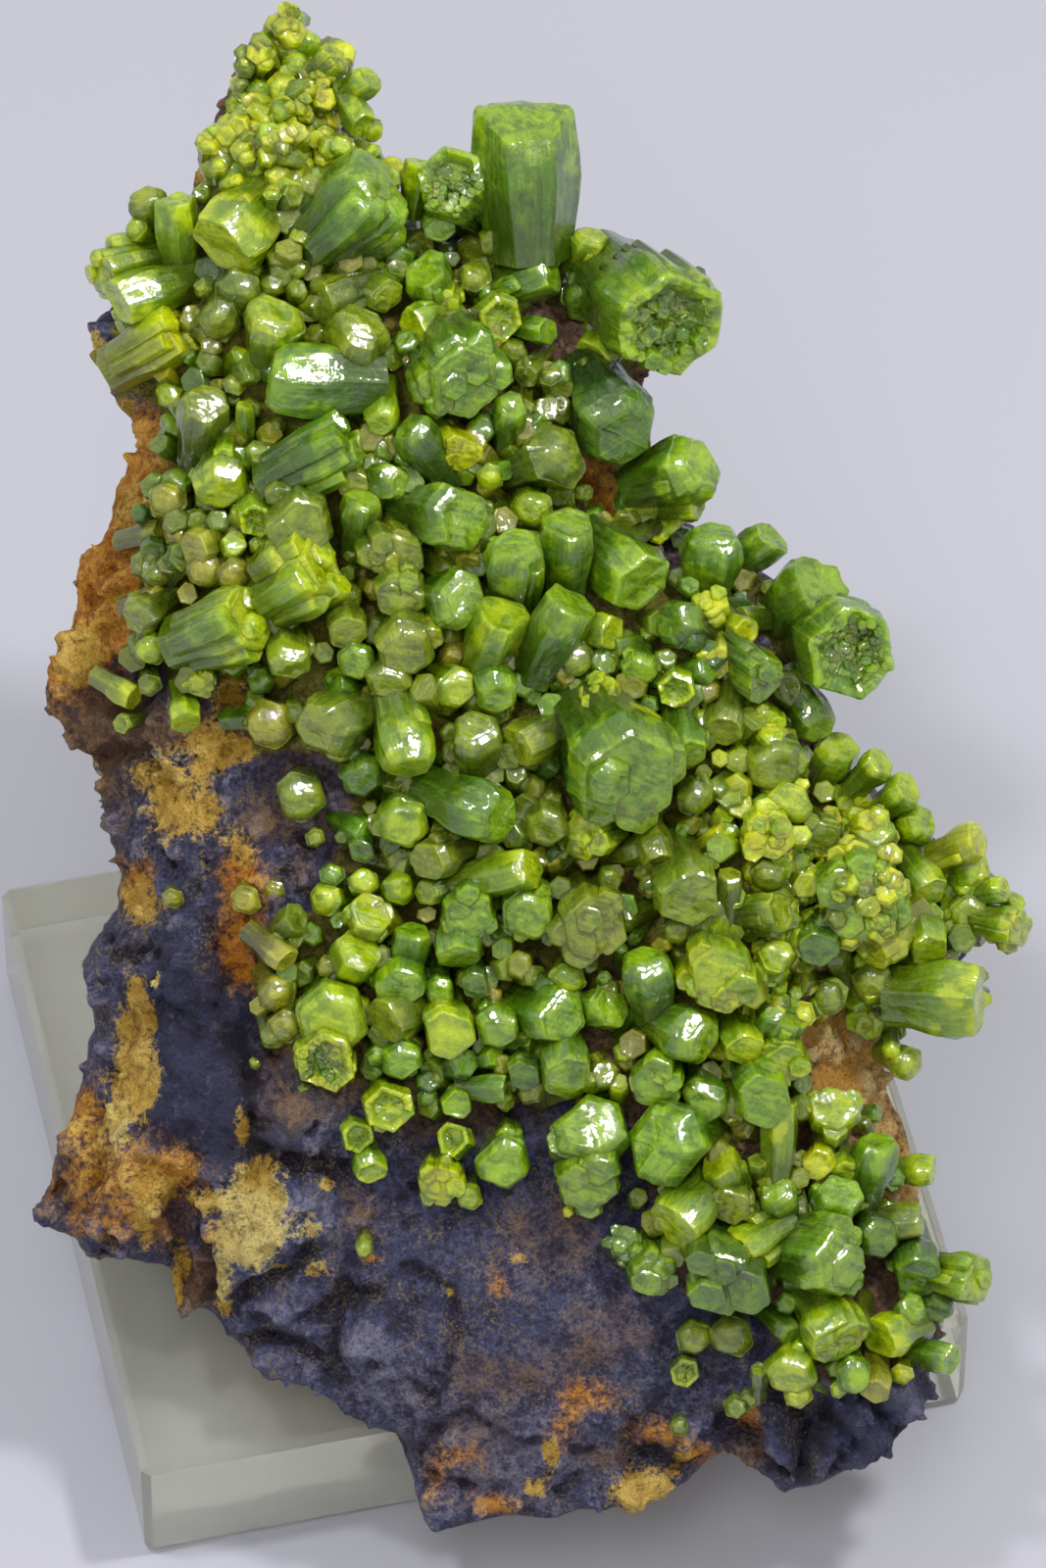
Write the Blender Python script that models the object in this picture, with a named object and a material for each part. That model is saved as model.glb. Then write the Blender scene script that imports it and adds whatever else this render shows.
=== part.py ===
"""A specimen of pyromorphite: barrel-shaped hexagonal crystals grown over a slab of
iron-oxide rock, which leans back on a clear display block.

The crystal face is laid out flat in millimetres, x from its left edge and y down from
its top, and then stood at FACE_TILT above the block. Heights on the face are measured
outwards, along the face's normal.
"""

import math
import random

import bmesh
import bpy
from mathutils import Matrix, Vector, noise
from mathutils.geometry import delaunay_2d_cdt

MM = 0.001

# Driving dimensions, in millimetres and degrees.
BLOCK_WIDTH = 88.0
BLOCK_DEPTH = 78.0
BLOCK_HEIGHT = 15.0
BLOCK_BEVEL = 0.8
FACE_WIDTH = 106.7
FACE_HEIGHT = 160.0
FACE_TILT = 38.0
FACE_TURN = -12.7
FACE_CENTRE = Vector((5.25, 1.05, 66.5))
GAP = 0.35

# The rock: how far its face falls towards its edges, how thick its rim is, and how deep
# its hidden back reaches near its foot and near its top.
ROCK_GRID = 6.4
ROCK_EDGE_FALL = 9.0
ROCK_EDGE_WIDTH = 16.0
ROCK_FOOT_FALL = 2.0
ROCK_FOOT_SLOPE = 2.2
ROCK_FOOT_TOP = 112.0
ROCK_FOOT_HEIGHT = 35.0
ROCK_RIPPLE = 0.9
ROCK_RIPPLE_SIZE = 9.0
ROCK_RIM = 5.0
ROCK_DEPTH_LOW = 62.0
ROCK_DEPTH_HIGH = 11.0
ROCK_DEPTH_TOP = 15.0
ROCK_DEPTH_HEIGHT = 85.0
ROCK_BACK_WIDTH = 22.0
ROCK_BACK_RIPPLE = 2.2
ROCK_BACK_RIPPLE_SIZE = 14.0

# The crust that the crystals stand in, and how high above the rock they are seated.
CRUST_GRID = 9.0
CRUST_TOP = 2.8
CRUST_RIM = 1.0
CRUST_RIM_WIDTH = 4.0
CRUST_ROOT = 2.0
CRUST_SEAT = 1.6
MOUND_SEAT = 0.2
MOUND_HEIGHT = 1.5

# Edges flatter than this many degrees are merged, and points closer than this are one.
SAME_PLANE = 0.6
SAME_POINT = 0.004

# The rock's outline on the face, clockwise from its top.
ROCK_OUTLINE = [
    (26.5, 3.5), (29, 3), (32, 6), (36, 13), (40, 18), (44, 22), (49, 24), (55, 26), (61, 27.5),
    (66, 32), (66, 40), (64.5, 47), (70, 53), (78, 57.5), (82, 62), (84, 68), (84.2, 75),
    (89, 80.5), (94.5, 84.5), (99.5, 89.5), (101, 95), (97.5, 99.5), (94, 101), (90, 105.5),
    (91, 111), (93, 116), (94, 123), (96, 127), (96, 134), (95, 138), (95.7, 142), (94, 145),
    (91.5, 147.5), (88, 150), (84, 152), (80.5, 152.7), (78, 151), (75.5, 149), (73.5, 148.5),
    (70, 152), (65, 154), (59, 154.5), (56, 155.5), (52, 155), (48, 155.8), (44, 157),
    (42.8, 154.5), (42, 151), (40, 146.5), (35, 145), (33, 143), (31, 141), (26.5, 141.5),
    (25.2, 138.5), (22.5, 136), (21, 134), (17.5, 134.7), (17, 129.5), (12, 129.2), (9, 129),
    (7.5, 127), (4.5, 125.8), (3, 124.5), (3.3, 122.5), (5, 120), (7, 113), (8.5, 108), (9, 105.5),
    (8, 101), (7.8, 98.5), (9, 96), (11.5, 93), (11.8, 90.5), (11, 87), (10.5, 83), (9.5, 79),
    (6, 74.5), (4, 72), (3.8, 69), (4.5, 67), (6.5, 64), (7.2, 61.5), (6.8, 59), (7.5, 57),
    (10, 54.5), (11, 50), (12.5, 47), (14, 44), (11, 41), (9.5, 37), (8.8, 34), (9.2, 32), (11, 30),
    (12.5, 27), (14.5, 24), (17, 21.5), (19, 19.5), (19.3, 17), (20.5, 14.5), (21.5, 12.5),
    (22.2, 9.5), (23, 7.5), (24, 5.5),
]

# Lumps and hollows on the rock's face: x, y, radius, height.
ROCK_LUMPS = [
    (45, 60, 32, 4.0), (70, 95, 24, 2.5), (55, 130, 20, 3.0), (30, 113, 6, 4.0), (20, 112, 7, 2.5),
    (25, 127, 6, 3.0), (29, 136, 5, -2.0), (36, 138, 6, 2.0), (86, 146, 7, 5.0),
    (78.5, 147, 3.5, -3.0), (11, 70, 4, -3.5), (23, 72, 7, -2.0), (86, 109, 5, -2.5),
    (16, 86, 7, 2.5), (12, 120, 8, 2.0), (22, 95, 7, 1.5), (52, 148, 8, 1.5), (66, 148, 6, -1.5),
    (42, 118, 7, -1.5), (30, 18, 9, 2.0),
]

# Where the crystals' crust covers the rock, clockwise from its top.
CRUST_OUTLINE = [
    (26.8, 5.0), (29, 4.5), (31.5, 7.5), (35, 14), (39.5, 19.5), (44, 23.5), (49, 25.5),
    (54.5, 27.7), (60.3, 29.2), (64.5, 33), (64.6, 40), (63.2, 47.8), (69.3, 54.2), (77.3, 58.6),
    (81, 62.8), (82.9, 68.3), (83, 75.5), (88.2, 81.4), (93.9, 85.6), (98.5, 90.2), (99.8, 94.9),
    (96.7, 98.6), (93.2, 100), (88.8, 103.8), (82, 104), (80.5, 108), (82, 110.5), (87, 110.8),
    (91, 117), (92.6, 123), (94.5, 127.5), (94.5, 134), (93, 139), (86, 141.5), (79.5, 139),
    (78, 131), (72, 132.5), (68, 127), (66, 120), (64, 114), (58, 111), (50, 113), (44, 114),
    (42.3, 114.5), (38, 113.5), (36.8, 110.5), (32.5, 108.5), (27.5, 107), (26, 102), (26.5, 95.5),
    (31, 94), (33, 91), (34.5, 86), (36, 82), (36.5, 78.2), (30, 76.5), (26, 76.8), (25, 73),
    (26.5, 70), (23, 69.5), (17, 69), (13, 66), (13.5, 60), (14.5, 53), (17.5, 46), (15.5, 41),
    (12.5, 38), (11.5, 33), (12, 30), (14, 27), (16, 24), (18.5, 22), (20.5, 20), (21, 17),
    (22, 14.5), (23, 12), (23.5, 10), (24.5, 7.5),
]

# How a crystal ends: distances back from its tip and sizes of its section, both in widths.
CRYSTAL_ENDS = {
    "flat": [(0.0, 0.92)],
    "bevelled": [(0.16, 0.95), (0.0, 0.66)],
    "rounded": [(0.30, 0.97), (0.0, 0.50)],
    "hollow": [(0.0, 0.92), (0.01, 0.62), (0.20, 0.45)],
}
CRYSTAL_FOOT = 0.82
CRYSTAL_SECTION = 0.53
FAT_CRYSTAL = 7.0

# Each crystal: x, y, width, seen length, heading on the face, lean from the face's normal, and
# how it ends.
CRUST_CRYSTALS = [
    # The top spire.
    (29.0, 2.2, 3.4, 4.0, 90, 60, "rounded"), (33.8, 6.2, 3.4, 3.6, 40, 60, "bevelled"),
    (26.3, 5.6, 3.4, 3.4, 150, 25, "rounded"), (32.0, 8.8, 3.8, 3.4, 300, 20, "rounded"),
    (30.0, 10.8, 3.4, 3.0, 250, 30, "rounded"), (25.0, 13.8, 3.6, 3.4, 110, 25, "rounded"),
    (22.5, 16.5, 4.8, 4.6, 200, 35, "rounded"), (25.8, 16.5, 4.0, 3.6, 270, 25, "rounded"),
    (29.0, 15.5, 4.0, 4.8, 0, 50, "flat"), (24.0, 18.5, 4.0, 3.0, 260, 40, "rounded"),
    (33.6, 15.6, 3.8, 4.0, 280, 30, "bevelled"), (37.2, 20.5, 8.8, 11.2, 212, 62, "flat"),
    (32.2, 23.0, 3.6, 7.5, 240, 65, "flat"), (39.8, 17.2, 3.4, 4.0, 70, 50, "rounded"),
    # The three at the left of the top.
    (15.0, 20.8, 3.6, 4.0, 110, 50, "bevelled"), (18.2, 23.2, 4.6, 7.8, 95, 62, "flat"),
    (12.0, 27.5, 5.8, 7.8, 195, 66, "bevelled"), (14.8, 30.0, 5.0, 8.0, 200, 62, "flat"),
    (16.5, 35.0, 6.6, 9.2, 28, 64, "bevelled"),
    # The upper left.
    (24.4, 23.8, 7.6, 8.0, 225, 58, "bevelled"), (22.5, 32.8, 4.6, 4.8, 260, 35, "rounded"),
    (28.0, 33.5, 6.0, 6.4, 80, 38, "bevelled"), (34.5, 30.5, 5.0, 6.2, 200, 58, "flat"),
    (36.5, 34.5, 6.6, 7.2, 60, 42, "bevelled"), (32.0, 39.0, 7.4, 10.6, 178, 74, "bevelled"),
    (33.0, 46.7, 6.2, 10.4, 25, 70, "bevelled"), (20.9, 42.8, 5.0, 7.6, 80, 45, "bevelled"),
    (22.8, 49.0, 5.6, 6.0, 262, 42, "bevelled"),
    # The upper right, with the largest.
    (47.0, 19.3, 7.4, 7.0, 140, 28, "hollow"), (53.4, 17.5, 10.2, 14.8, 93, 76, "bevelled"),
    (54.0, 28.5, 4.8, 7.2, 18, 62, "flat"), (44.0, 28.8, 4.8, 6.2, 110, 40, "flat"),
    (50.8, 32.5, 4.8, 4.4, 300, 20, "hollow"), (47.2, 38.5, 9.2, 8.0, 300, 32, "bevelled"),
    (48.6, 38.5, 4.6, 4.4, 300, 40, "flat"), (59.8, 30.0, 5.2, 7.0, 270, 40, "bevelled"),
    (66.5, 31.5, 11.8, 9.2, 318, 36, "hollow"), (62.5, 42.8, 8.8, 8.4, 300, 48, "bevelled"),
    (30.7, 53.4, 7.0, 5.6, 270, 25, "flat"), (45.8, 52.8, 6.6, 5.0, 350, 45, "flat"),
    (56.5, 46.8, 6.6, 4.6, 20, 40, "rounded"),
    # The middle left.
    (31.7, 58.8, 8.0, 9.2, 28, 55, "bevelled"), (23.8, 63.8, 7.8, 10.6, 18, 55, "bevelled"),
    (39.9, 69.2, 4.6, 4.8, 270, 25, "bevelled"), (27.6, 74.0, 4.8, 4.6, 200, 25, "rounded"),
    (33.8, 73.8, 6.8, 6.0, 200, 40, "bevelled"),
    # The centre.
    (40.3, 56.5, 6.0, 4.8, 300, 30, "bevelled"), (40.7, 60.3, 5.6, 3.6, 270, 30, "bevelled"),
    (41.5, 65.5, 6.2, 7.2, 268, 38, "bevelled"), (46.5, 61.2, 5.8, 5.4, 350, 35, "bevelled"),
    (52.4, 57.8, 5.6, 8.4, 85, 42, "bevelled"), (57.8, 56.2, 5.4, 8.2, 88, 55, "flat"),
    (64.1, 58.3, 7.0, 7.4, 318, 50, "flat"), (66.8, 52.3, 5.8, 5.8, 250, 18, "hollow"),
    (69.5, 47.8, 7.0, 6.0, 15, 58, "bevelled"), (72.5, 56.6, 6.0, 7.8, 80, 55, "bevelled"),
    (82.3, 60.6, 7.4, 6.6, 35, 42, "flat"), (85.6, 66.0, 9.2, 7.0, 320, 24, "hollow"),
    (56.8, 64.0, 5.6, 8.8, 62, 58, "flat"), (50.6, 64.8, 5.6, 7.8, 68, 55, "flat"),
    (50.4, 70.0, 4.6, 6.0, 285, 48, "bevelled"), (69.4, 63.8, 5.0, 6.0, 160, 45, "bevelled"),
    (77.0, 68.5, 5.2, 7.8, 320, 50, "bevelled"), (61.1, 71.0, 4.6, 4.4, 120, 40, "bevelled"),
    (64.7, 74.1, 4.8, 4.8, 330, 45, "flat"), (63.2, 78.2, 11.8, 10.0, 300, 40, "bevelled"),
    (79.0, 77.6, 6.2, 5.2, 280, 30, "bevelled"), (48.5, 75.7, 5.2, 7.0, 95, 45, "bevelled"),
    (54.1, 75.6, 5.0, 4.4, 205, 58, "flat"), (41.3, 75.9, 6.0, 8.6, 285, 58, "bevelled"),
    (48.7, 82.6, 7.0, 9.2, 338, 58, "bevelled"), (55.9, 83.8, 4.8, 4.8, 270, 30, "bevelled"),
    (60.1, 85.0, 5.0, 5.2, 200, 35, "bevelled"), (70.0, 90.5, 6.6, 6.6, 290, 35, "flat"),
    # The right spur.
    (99.0, 89.0, 4.6, 4.2, 20, 45, "bevelled"), (103.1, 94.5, 4.6, 4.6, 350, 60, "bevelled"),
    (78.1, 85.2, 5.6, 5.4, 300, 20, "bevelled"), (80.2, 82.0, 4.6, 3.6, 60, 30, "bevelled"),
    (88.7, 85.6, 5.0, 3.6, 60, 30, "bevelled"), (88.0, 91.5, 9.2, 7.4, 270, 25, "bevelled"),
    (90.3, 95.5, 5.0, 6.6, 215, 58, "flat"), (96.7, 102.0, 6.6, 8.8, 357, 70, "flat"),
    (89.0, 100.2, 4.6, 4.0, 260, 30, "rounded"),
    # The lower right.
    (73.5, 99.0, 8.2, 7.8, 280, 25, "bevelled"), (66.0, 99.7, 5.6, 8.0, 100, 50, "bevelled"),
    (70.2, 105.3, 6.2, 7.0, 335, 45, "bevelled"), (79.6, 104.0, 5.0, 3.6, 60, 45, "bevelled"),
    (79.9, 107.8, 5.4, 5.2, 280, 30, "bevelled"), (66.8, 109.9, 5.6, 5.2, 250, 25, "bevelled"),
    (71.6, 111.8, 4.6, 5.6, 275, 35, "bevelled"), (77.5, 111.2, 6.0, 5.6, 300, 30, "flat"),
    (68.1, 116.3, 7.8, 6.4, 200, 30, "bevelled"), (85.0, 113.5, 6.0, 5.2, 80, 25, "bevelled"),
    (89.0, 118.6, 4.6, 7.0, 75, 60, "bevelled"), (74.3, 122.4, 4.6, 4.4, 280, 30, "bevelled"),
    (69.8, 123.6, 6.0, 6.4, 228, 52, "flat"), (76.5, 126.8, 5.2, 6.2, 210, 58, "flat"),
    (73.5, 129.6, 8.6, 6.0, 270, 30, "bevelled"), (85.1, 122.4, 4.6, 3.4, 60, 40, "flat"),
    (84.2, 128.0, 8.2, 7.2, 352, 45, "bevelled"), (89.5, 126.0, 4.6, 4.6, 300, 30, "bevelled"),
    (93.5, 129.2, 5.4, 5.6, 280, 35, "flat"), (98.6, 130.6, 5.8, 6.2, 350, 60, "bevelled"),
    (90.8, 136.2, 4.6, 5.0, 200, 45, "flat"), (85.0, 135.4, 6.8, 7.0, 300, 50, "bevelled"),
    (80.8, 139.4, 5.0, 4.8, 250, 30, "bevelled"),
    # Below the centre.
    (47.8, 92.8, 6.0, 5.6, 270, 25, "bevelled"), (54.0, 92.8, 5.4, 5.4, 300, 30, "bevelled"),
    (46.6, 96.3, 4.8, 4.0, 270, 50, "flat"), (60.0, 94.0, 7.6, 8.4, 290, 25, "bevelled"),
    (56.2, 103.5, 6.0, 5.6, 350, 40, "flat"), (57.6, 108.2, 5.8, 4.8, 280, 45, "flat"),
    (50.9, 104.4, 4.6, 4.8, 290, 30, "bevelled"), (45.7, 104.6, 5.4, 5.2, 280, 30, "flat"),
    (40.8, 99.8, 5.2, 4.4, 270, 30, "flat"), (40.6, 103.6, 5.0, 4.6, 200, 45, "flat"),
    (34.2, 103.4, 6.8, 6.6, 275, 22, "bevelled"), (33.5, 107.4, 6.2, 4.2, 270, 20, "hollow"),
    (36.3, 97.7, 4.8, 5.2, 60, 35, "flat"), (37.7, 93.4, 5.2, 5.2, 60, 25, "bevelled"),
    (41.2, 83.6, 5.4, 5.6, 275, 25, "bevelled"), (39.6, 112.5, 5.0, 5.0, 290, 18, "hollow"),
]

# Crystals and small groups that stand apart on the bare rock.
GROUPS = {
    "single_barrel": [
        (30.8, 81.2, 5.2, 4.8, 260, 20, "rounded"),
    ],
    "left_pair": [
        (36.5, 115.5, 3.6, 3.6, 300, 20, "hollow"), (37.6, 118.6, 3.4, 2.8, 290, 55, "flat"),
    ],
    "lower_group": [
        (46.5, 116.2, 3.6, 3.6, 150, 20, "hollow"), (51.5, 118.2, 5.6, 6.6, 265, 25, "bevelled"),
        (45.0, 120.2, 5.0, 5.0, 260, 25, "bevelled"), (47.8, 121.9, 2.8, 2.4, 270, 25, "rounded"),
    ],
    "double_cluster": [
        (60.1, 115.6, 7.2, 5.2, 90, 22, "bevelled"), (60.1, 119.8, 7.4, 5.0, 275, 30, "bevelled"),
    ],
    "beaded_pair": [
        (63.8, 126.8, 3.8, 4.6, 120, 25, "bevelled"), (66.2, 129.5, 5.2, 5.6, 290, 35, "bevelled"),
    ],
    "honey_group": [
        (70.8, 136.4, 3.4, 3.4, 280, 20, "rounded"), (74.6, 136.1, 4.6, 4.6, 260, 20, "rounded"),
        (69.8, 139.9, 3.0, 2.8, 270, 15, "hollow"),
    ],
}

# Colour, roughness and alpha of each material.
MATERIALS = {
    "iron_oxide_rock": ((0.055, 0.045, 0.060, 1.0), 0.85),
    "pyromorphite": ((0.175, 0.290, 0.022, 1.0), 0.30),
    "clear_acrylic": ((0.90, 0.93, 0.93, 0.35), 0.05),
}

FACE_RIGHT = Vector((math.cos(math.radians(FACE_TURN)), math.sin(math.radians(FACE_TURN)), 0))
FACE_OUT = Matrix.Rotation(math.radians(FACE_TURN), 3, "Z") @ Vector(
    (0, -math.sin(math.radians(FACE_TILT)), math.cos(math.radians(FACE_TILT))))
FACE_UP = FACE_OUT.cross(FACE_RIGHT)


def clear_scene():
    for thing in list(bpy.data.objects):
        bpy.data.objects.remove(thing, do_unlink=True)


def smooth(value):
    value = min(max(value, 0.0), 1.0)
    return value * value * (3 - 2 * value)


def place(x, y, out=0.0):
    """A point on the face, in millimetres from the centre of the block's underside."""
    across = x - FACE_WIDTH / 2
    up = FACE_HEIGHT / 2 - y
    return FACE_CENTRE + FACE_RIGHT * across + FACE_UP * up + FACE_OUT * out


def edge_distance(x, y, outline):
    """How far a point lies from the outline, positive inside it."""
    nearest = math.inf
    inside = False
    for (ax, ay), (bx, by) in zip(outline, outline[1:] + outline[:1]):
        dx, dy = bx - ax, by - ay
        along = ((x - ax) * dx + (y - ay) * dy) / (dx * dx + dy * dy)
        along = min(max(along, 0.0), 1.0)
        nearest = min(nearest, math.hypot(x - ax - along * dx, y - ay - along * dy))
        if (ay > y) != (by > y) and x < ax + dx * (y - ay) / dy:
            inside = not inside
    return nearest if inside else -nearest


def rock_front(x, y):
    """Height of the rock's face."""
    inward = max(edge_distance(x, y, ROCK_OUTLINE), 0.0)
    foot = smooth((y - ROCK_FOOT_TOP) / ROCK_FOOT_HEIGHT)
    fall = ROCK_EDGE_FALL * (1 - foot) + ROCK_FOOT_FALL * foot
    height = -fall * (1 - min(inward / ROCK_EDGE_WIDTH, 1)) ** 2 - ROCK_FOOT_SLOPE * foot
    within = smooth(inward / 5)
    for lump_x, lump_y, radius, lump in ROCK_LUMPS:
        apart = ((x - lump_x) ** 2 + (y - lump_y) ** 2) / radius ** 2
        height += within * lump * math.exp(-apart)
    spot = Vector((x, y, 0)) / ROCK_RIPPLE_SIZE + Vector((0, 0, 0.5))
    return height + ROCK_RIPPLE * within * noise.fractal(spot, 1.0, 2.0, 3)


def rock_back(x, y):
    """Height of the rock's hidden back: a wedge that is thick at its foot."""
    inward = max(edge_distance(x, y, ROCK_OUTLINE), 0.0)
    low = smooth((y - ROCK_DEPTH_TOP) / ROCK_DEPTH_HEIGHT)
    depth = ROCK_DEPTH_HIGH * (1 - low) + ROCK_DEPTH_LOW * low
    depth *= 0.12 + 0.88 * smooth(inward / ROCK_BACK_WIDTH)
    spot = Vector((x, y, 0)) / ROCK_BACK_RIPPLE_SIZE + Vector((0, 0, 7.5))
    depth += ROCK_BACK_RIPPLE * noise.fractal(spot, 1.0, 2.0, 3)
    foot = smooth((y - ROCK_FOOT_TOP) / ROCK_FOOT_HEIGHT)
    edge = -ROCK_EDGE_FALL * (1 - foot) - (ROCK_FOOT_FALL + ROCK_FOOT_SLOPE) * foot
    return edge - ROCK_RIM - depth * smooth(inward / 3)


def grid_inside(outline, step, margin, seed):
    """Points of a loose triangular grid that lie inside an outline."""
    pick = random.Random(seed)
    points = []
    rows = int(FACE_HEIGHT / (step * 0.87)) + 1
    columns = int(FACE_WIDTH / step) + 2
    for row in range(rows):
        for column in range(columns):
            x = (column + 0.5 * (row % 2)) * step + pick.uniform(-0.18, 0.18) * step
            y = row * step * 0.87 + pick.uniform(-0.18, 0.18) * step
            if edge_distance(x, y, outline) > margin:
                points.append((x, y))
    return points


def sheet(outline, step, front, back, seed):
    """A closed solid between two heights over the area inside an outline."""
    points = [Vector(p) for p in outline + grid_inside(outline, step, step * 0.55, seed)]
    ring = list(range(len(outline)))
    flat, _, faces, *_ = delaunay_2d_cdt(points, [], [ring], 1, 1e-5)
    solid = bmesh.new()
    top = [solid.verts.new(place(p.x, p.y, front(p.x, p.y)) * MM) for p in flat]
    bottom = [solid.verts.new(place(p.x, p.y, back(p.x, p.y)) * MM) for p in flat]
    for face in faces:
        solid.faces.new([top[i] for i in face])
        solid.faces.new([bottom[i] for i in reversed(face)])
    for here, there in zip(ring, ring[1:] + ring[:1]):
        solid.faces.new([top[there], top[here], bottom[here], bottom[there]])
    bmesh.ops.recalc_face_normals(solid, faces=solid.faces)
    return solid


def ring_at(solid, centre, axis, side, radius, turn):
    """A hexagon of vertices around an axis."""
    other = axis.cross(side)
    corners = []
    for corner in range(6):
        angle = math.radians(60 * corner + turn)
        spoke = side * math.cos(angle) + other * math.sin(angle)
        corners.append(solid.verts.new((centre + spoke * radius) * MM))
    return corners


def add_barrel(solid, crystal, turn, seat):
    """One six-sided crystal, wider in its middle, seated above the rock."""
    x, y, width, seen, heading, lean, end = crystal
    lean = math.radians(lean)
    heading = math.radians(heading)
    length = (seen - width * math.cos(lean)) / math.sin(lean)
    length = min(max(length, 0.75 * width), 2.3 * width)
    axis = (FACE_RIGHT * math.cos(heading) + FACE_UP * math.sin(heading)) * math.sin(lean)
    axis += FACE_OUT * math.cos(lean)
    side = axis.cross(FACE_UP + FACE_RIGHT * 0.3).normalized()
    back = length / 2 * math.sin(lean)
    foot_x = x - back * math.cos(heading)
    foot_y = y + back * math.sin(heading)
    lift = 0.3 * width * math.sin(lean)
    foot = place(foot_x, foot_y, rock_front(foot_x, foot_y) + seat + lift)
    root = lift + 0.6 + 0.25 * width * math.sin(lean)
    stations = [(-root, CRYSTAL_FOOT)]
    if width > FAT_CRYSTAL:
        stations.append((0.42 * length, 1.0))
    for back_off, size in CRYSTAL_ENDS[end]:
        stations.append((length - back_off * width, size))
    rings = []
    for along, size in stations:
        radius = CRYSTAL_SECTION * width * size
        rings.append(ring_at(solid, foot + axis * along, axis, side, radius, turn))
    for low, high in zip(rings, rings[1:]):
        for corner in range(6):
            after = (corner + 1) % 6
            solid.faces.new([low[corner], low[after], high[after], high[corner]])
    solid.faces.new(list(reversed(rings[0])))
    solid.faces.new(rings[-1])


def barrels(crystals, seat, seed):
    solid = bmesh.new()
    pick = random.Random(seed)
    for crystal in crystals:
        add_barrel(solid, crystal, pick.uniform(0, 60), seat)
    bmesh.ops.recalc_face_normals(solid, faces=solid.faces)
    return solid


def mound(crystals):
    """The low foot of rock-like crystal that a small group grows from."""
    centre_x = sum(c[0] for c in crystals) / len(crystals)
    centre_y = sum(c[1] for c in crystals) / len(crystals)
    reach = max(math.hypot(c[0] - centre_x, c[1] - centre_y) for c in crystals)
    radius = reach + 0.3 * max(c[2] for c in crystals)
    solid = bmesh.new()
    rings = []
    for height, scale in ((-CRUST_ROOT, 1.0), (0.6 * MOUND_HEIGHT, 1.0), (MOUND_HEIGHT, 0.7)):
        ring = []
        for corner in range(8):
            angle = math.radians(45 * corner)
            x = centre_x + radius * scale * math.cos(angle)
            y = centre_y - radius * scale * math.sin(angle)
            ring.append(solid.verts.new(place(x, y, rock_front(x, y) + height) * MM))
        rings.append(ring)
    for low, high in zip(rings, rings[1:]):
        for corner in range(8):
            after = (corner + 1) % 8
            solid.faces.new([low[corner], low[after], high[after], high[corner]])
    solid.faces.new(list(reversed(rings[0])))
    solid.faces.new(rings[-1])
    bmesh.ops.recalc_face_normals(solid, faces=solid.faces)
    return solid


def as_object(name, solid, hidden=False):
    bmesh.ops.triangulate(solid, faces=solid.faces)
    mesh = bpy.data.meshes.new(name)
    solid.to_mesh(mesh)
    solid.free()
    thing = bpy.data.objects.new(name, mesh)
    bpy.context.collection.objects.link(thing)
    if hidden:
        thing.hide_render = True
        thing.display_type = "WIRE"
    return thing


def boolean(thing, operation, other, crossing=False):
    cut = thing.modifiers.new(operation.lower(), "BOOLEAN")
    cut.operation = operation
    cut.object = other
    cut.solver = "EXACT"
    cut.use_self = crossing


def evaluated(thing):
    """The thing's mesh with its modifiers applied."""
    graph = bpy.context.evaluated_depsgraph_get()
    solid = bmesh.new()
    solid.from_mesh(thing.evaluated_get(graph).to_mesh())
    return solid


def pieces_of(solid):
    """The separate pieces of a mesh, each a list of its faces."""
    left = set(solid.faces)
    pieces = []
    while left:
        open_faces = [left.pop()]
        piece = []
        while open_faces:
            face = open_faces.pop()
            piece.append(face)
            for edge in face.edges:
                for neighbour in edge.link_faces:
                    if neighbour in left:
                        left.remove(neighbour)
                        open_faces.append(neighbour)
        pieces.append(piece)
    return pieces


def keep_largest(solid):
    """Drops crumbs that a cut left beside the main piece."""
    pieces = sorted(pieces_of(solid), key=len)
    crumbs = [face for piece in pieces[:-1] for face in piece]
    bmesh.ops.delete(solid, geom=crumbs, context="FACES")


def tidy(solid):
    """Takes out slivers, so that every face has a real size."""
    bmesh.ops.dissolve_limit(solid, angle_limit=math.radians(SAME_PLANE), verts=solid.verts,
                             edges=solid.edges)
    bmesh.ops.remove_doubles(solid, verts=solid.verts, dist=SAME_POINT * MM)
    bmesh.ops.dissolve_degenerate(solid, edges=solid.edges, dist=SAME_POINT / 2 * MM)
    bmesh.ops.triangulate(solid, faces=solid.faces)
    keep_largest(solid)


def material(slot):
    colour, roughness = MATERIALS[slot]
    made = bpy.data.materials.get(slot)
    if made is None:
        made = bpy.data.materials.new(slot)
        made.use_nodes = True
        shader = made.node_tree.nodes["Principled BSDF"]
        shader.inputs["Base Color"].default_value = colour
        shader.inputs["Roughness"].default_value = roughness
        shader.inputs["Alpha"].default_value = colour[3]
    return made


def display_block():
    solid = bmesh.new()
    bmesh.ops.create_cube(solid, size=1.0)
    for corner in solid.verts:
        corner.co.x *= BLOCK_WIDTH * MM
        corner.co.y *= BLOCK_DEPTH * MM
        corner.co.z = (corner.co.z + 0.5) * BLOCK_HEIGHT * MM
    bmesh.ops.bevel(solid, geom=solid.edges, offset=BLOCK_BEVEL * MM, segments=1, profile=0.5,
                    affect="EDGES")
    block = as_object("acrylic_block", solid)
    block.data.materials.append(material("clear_acrylic"))
    return block


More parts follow.
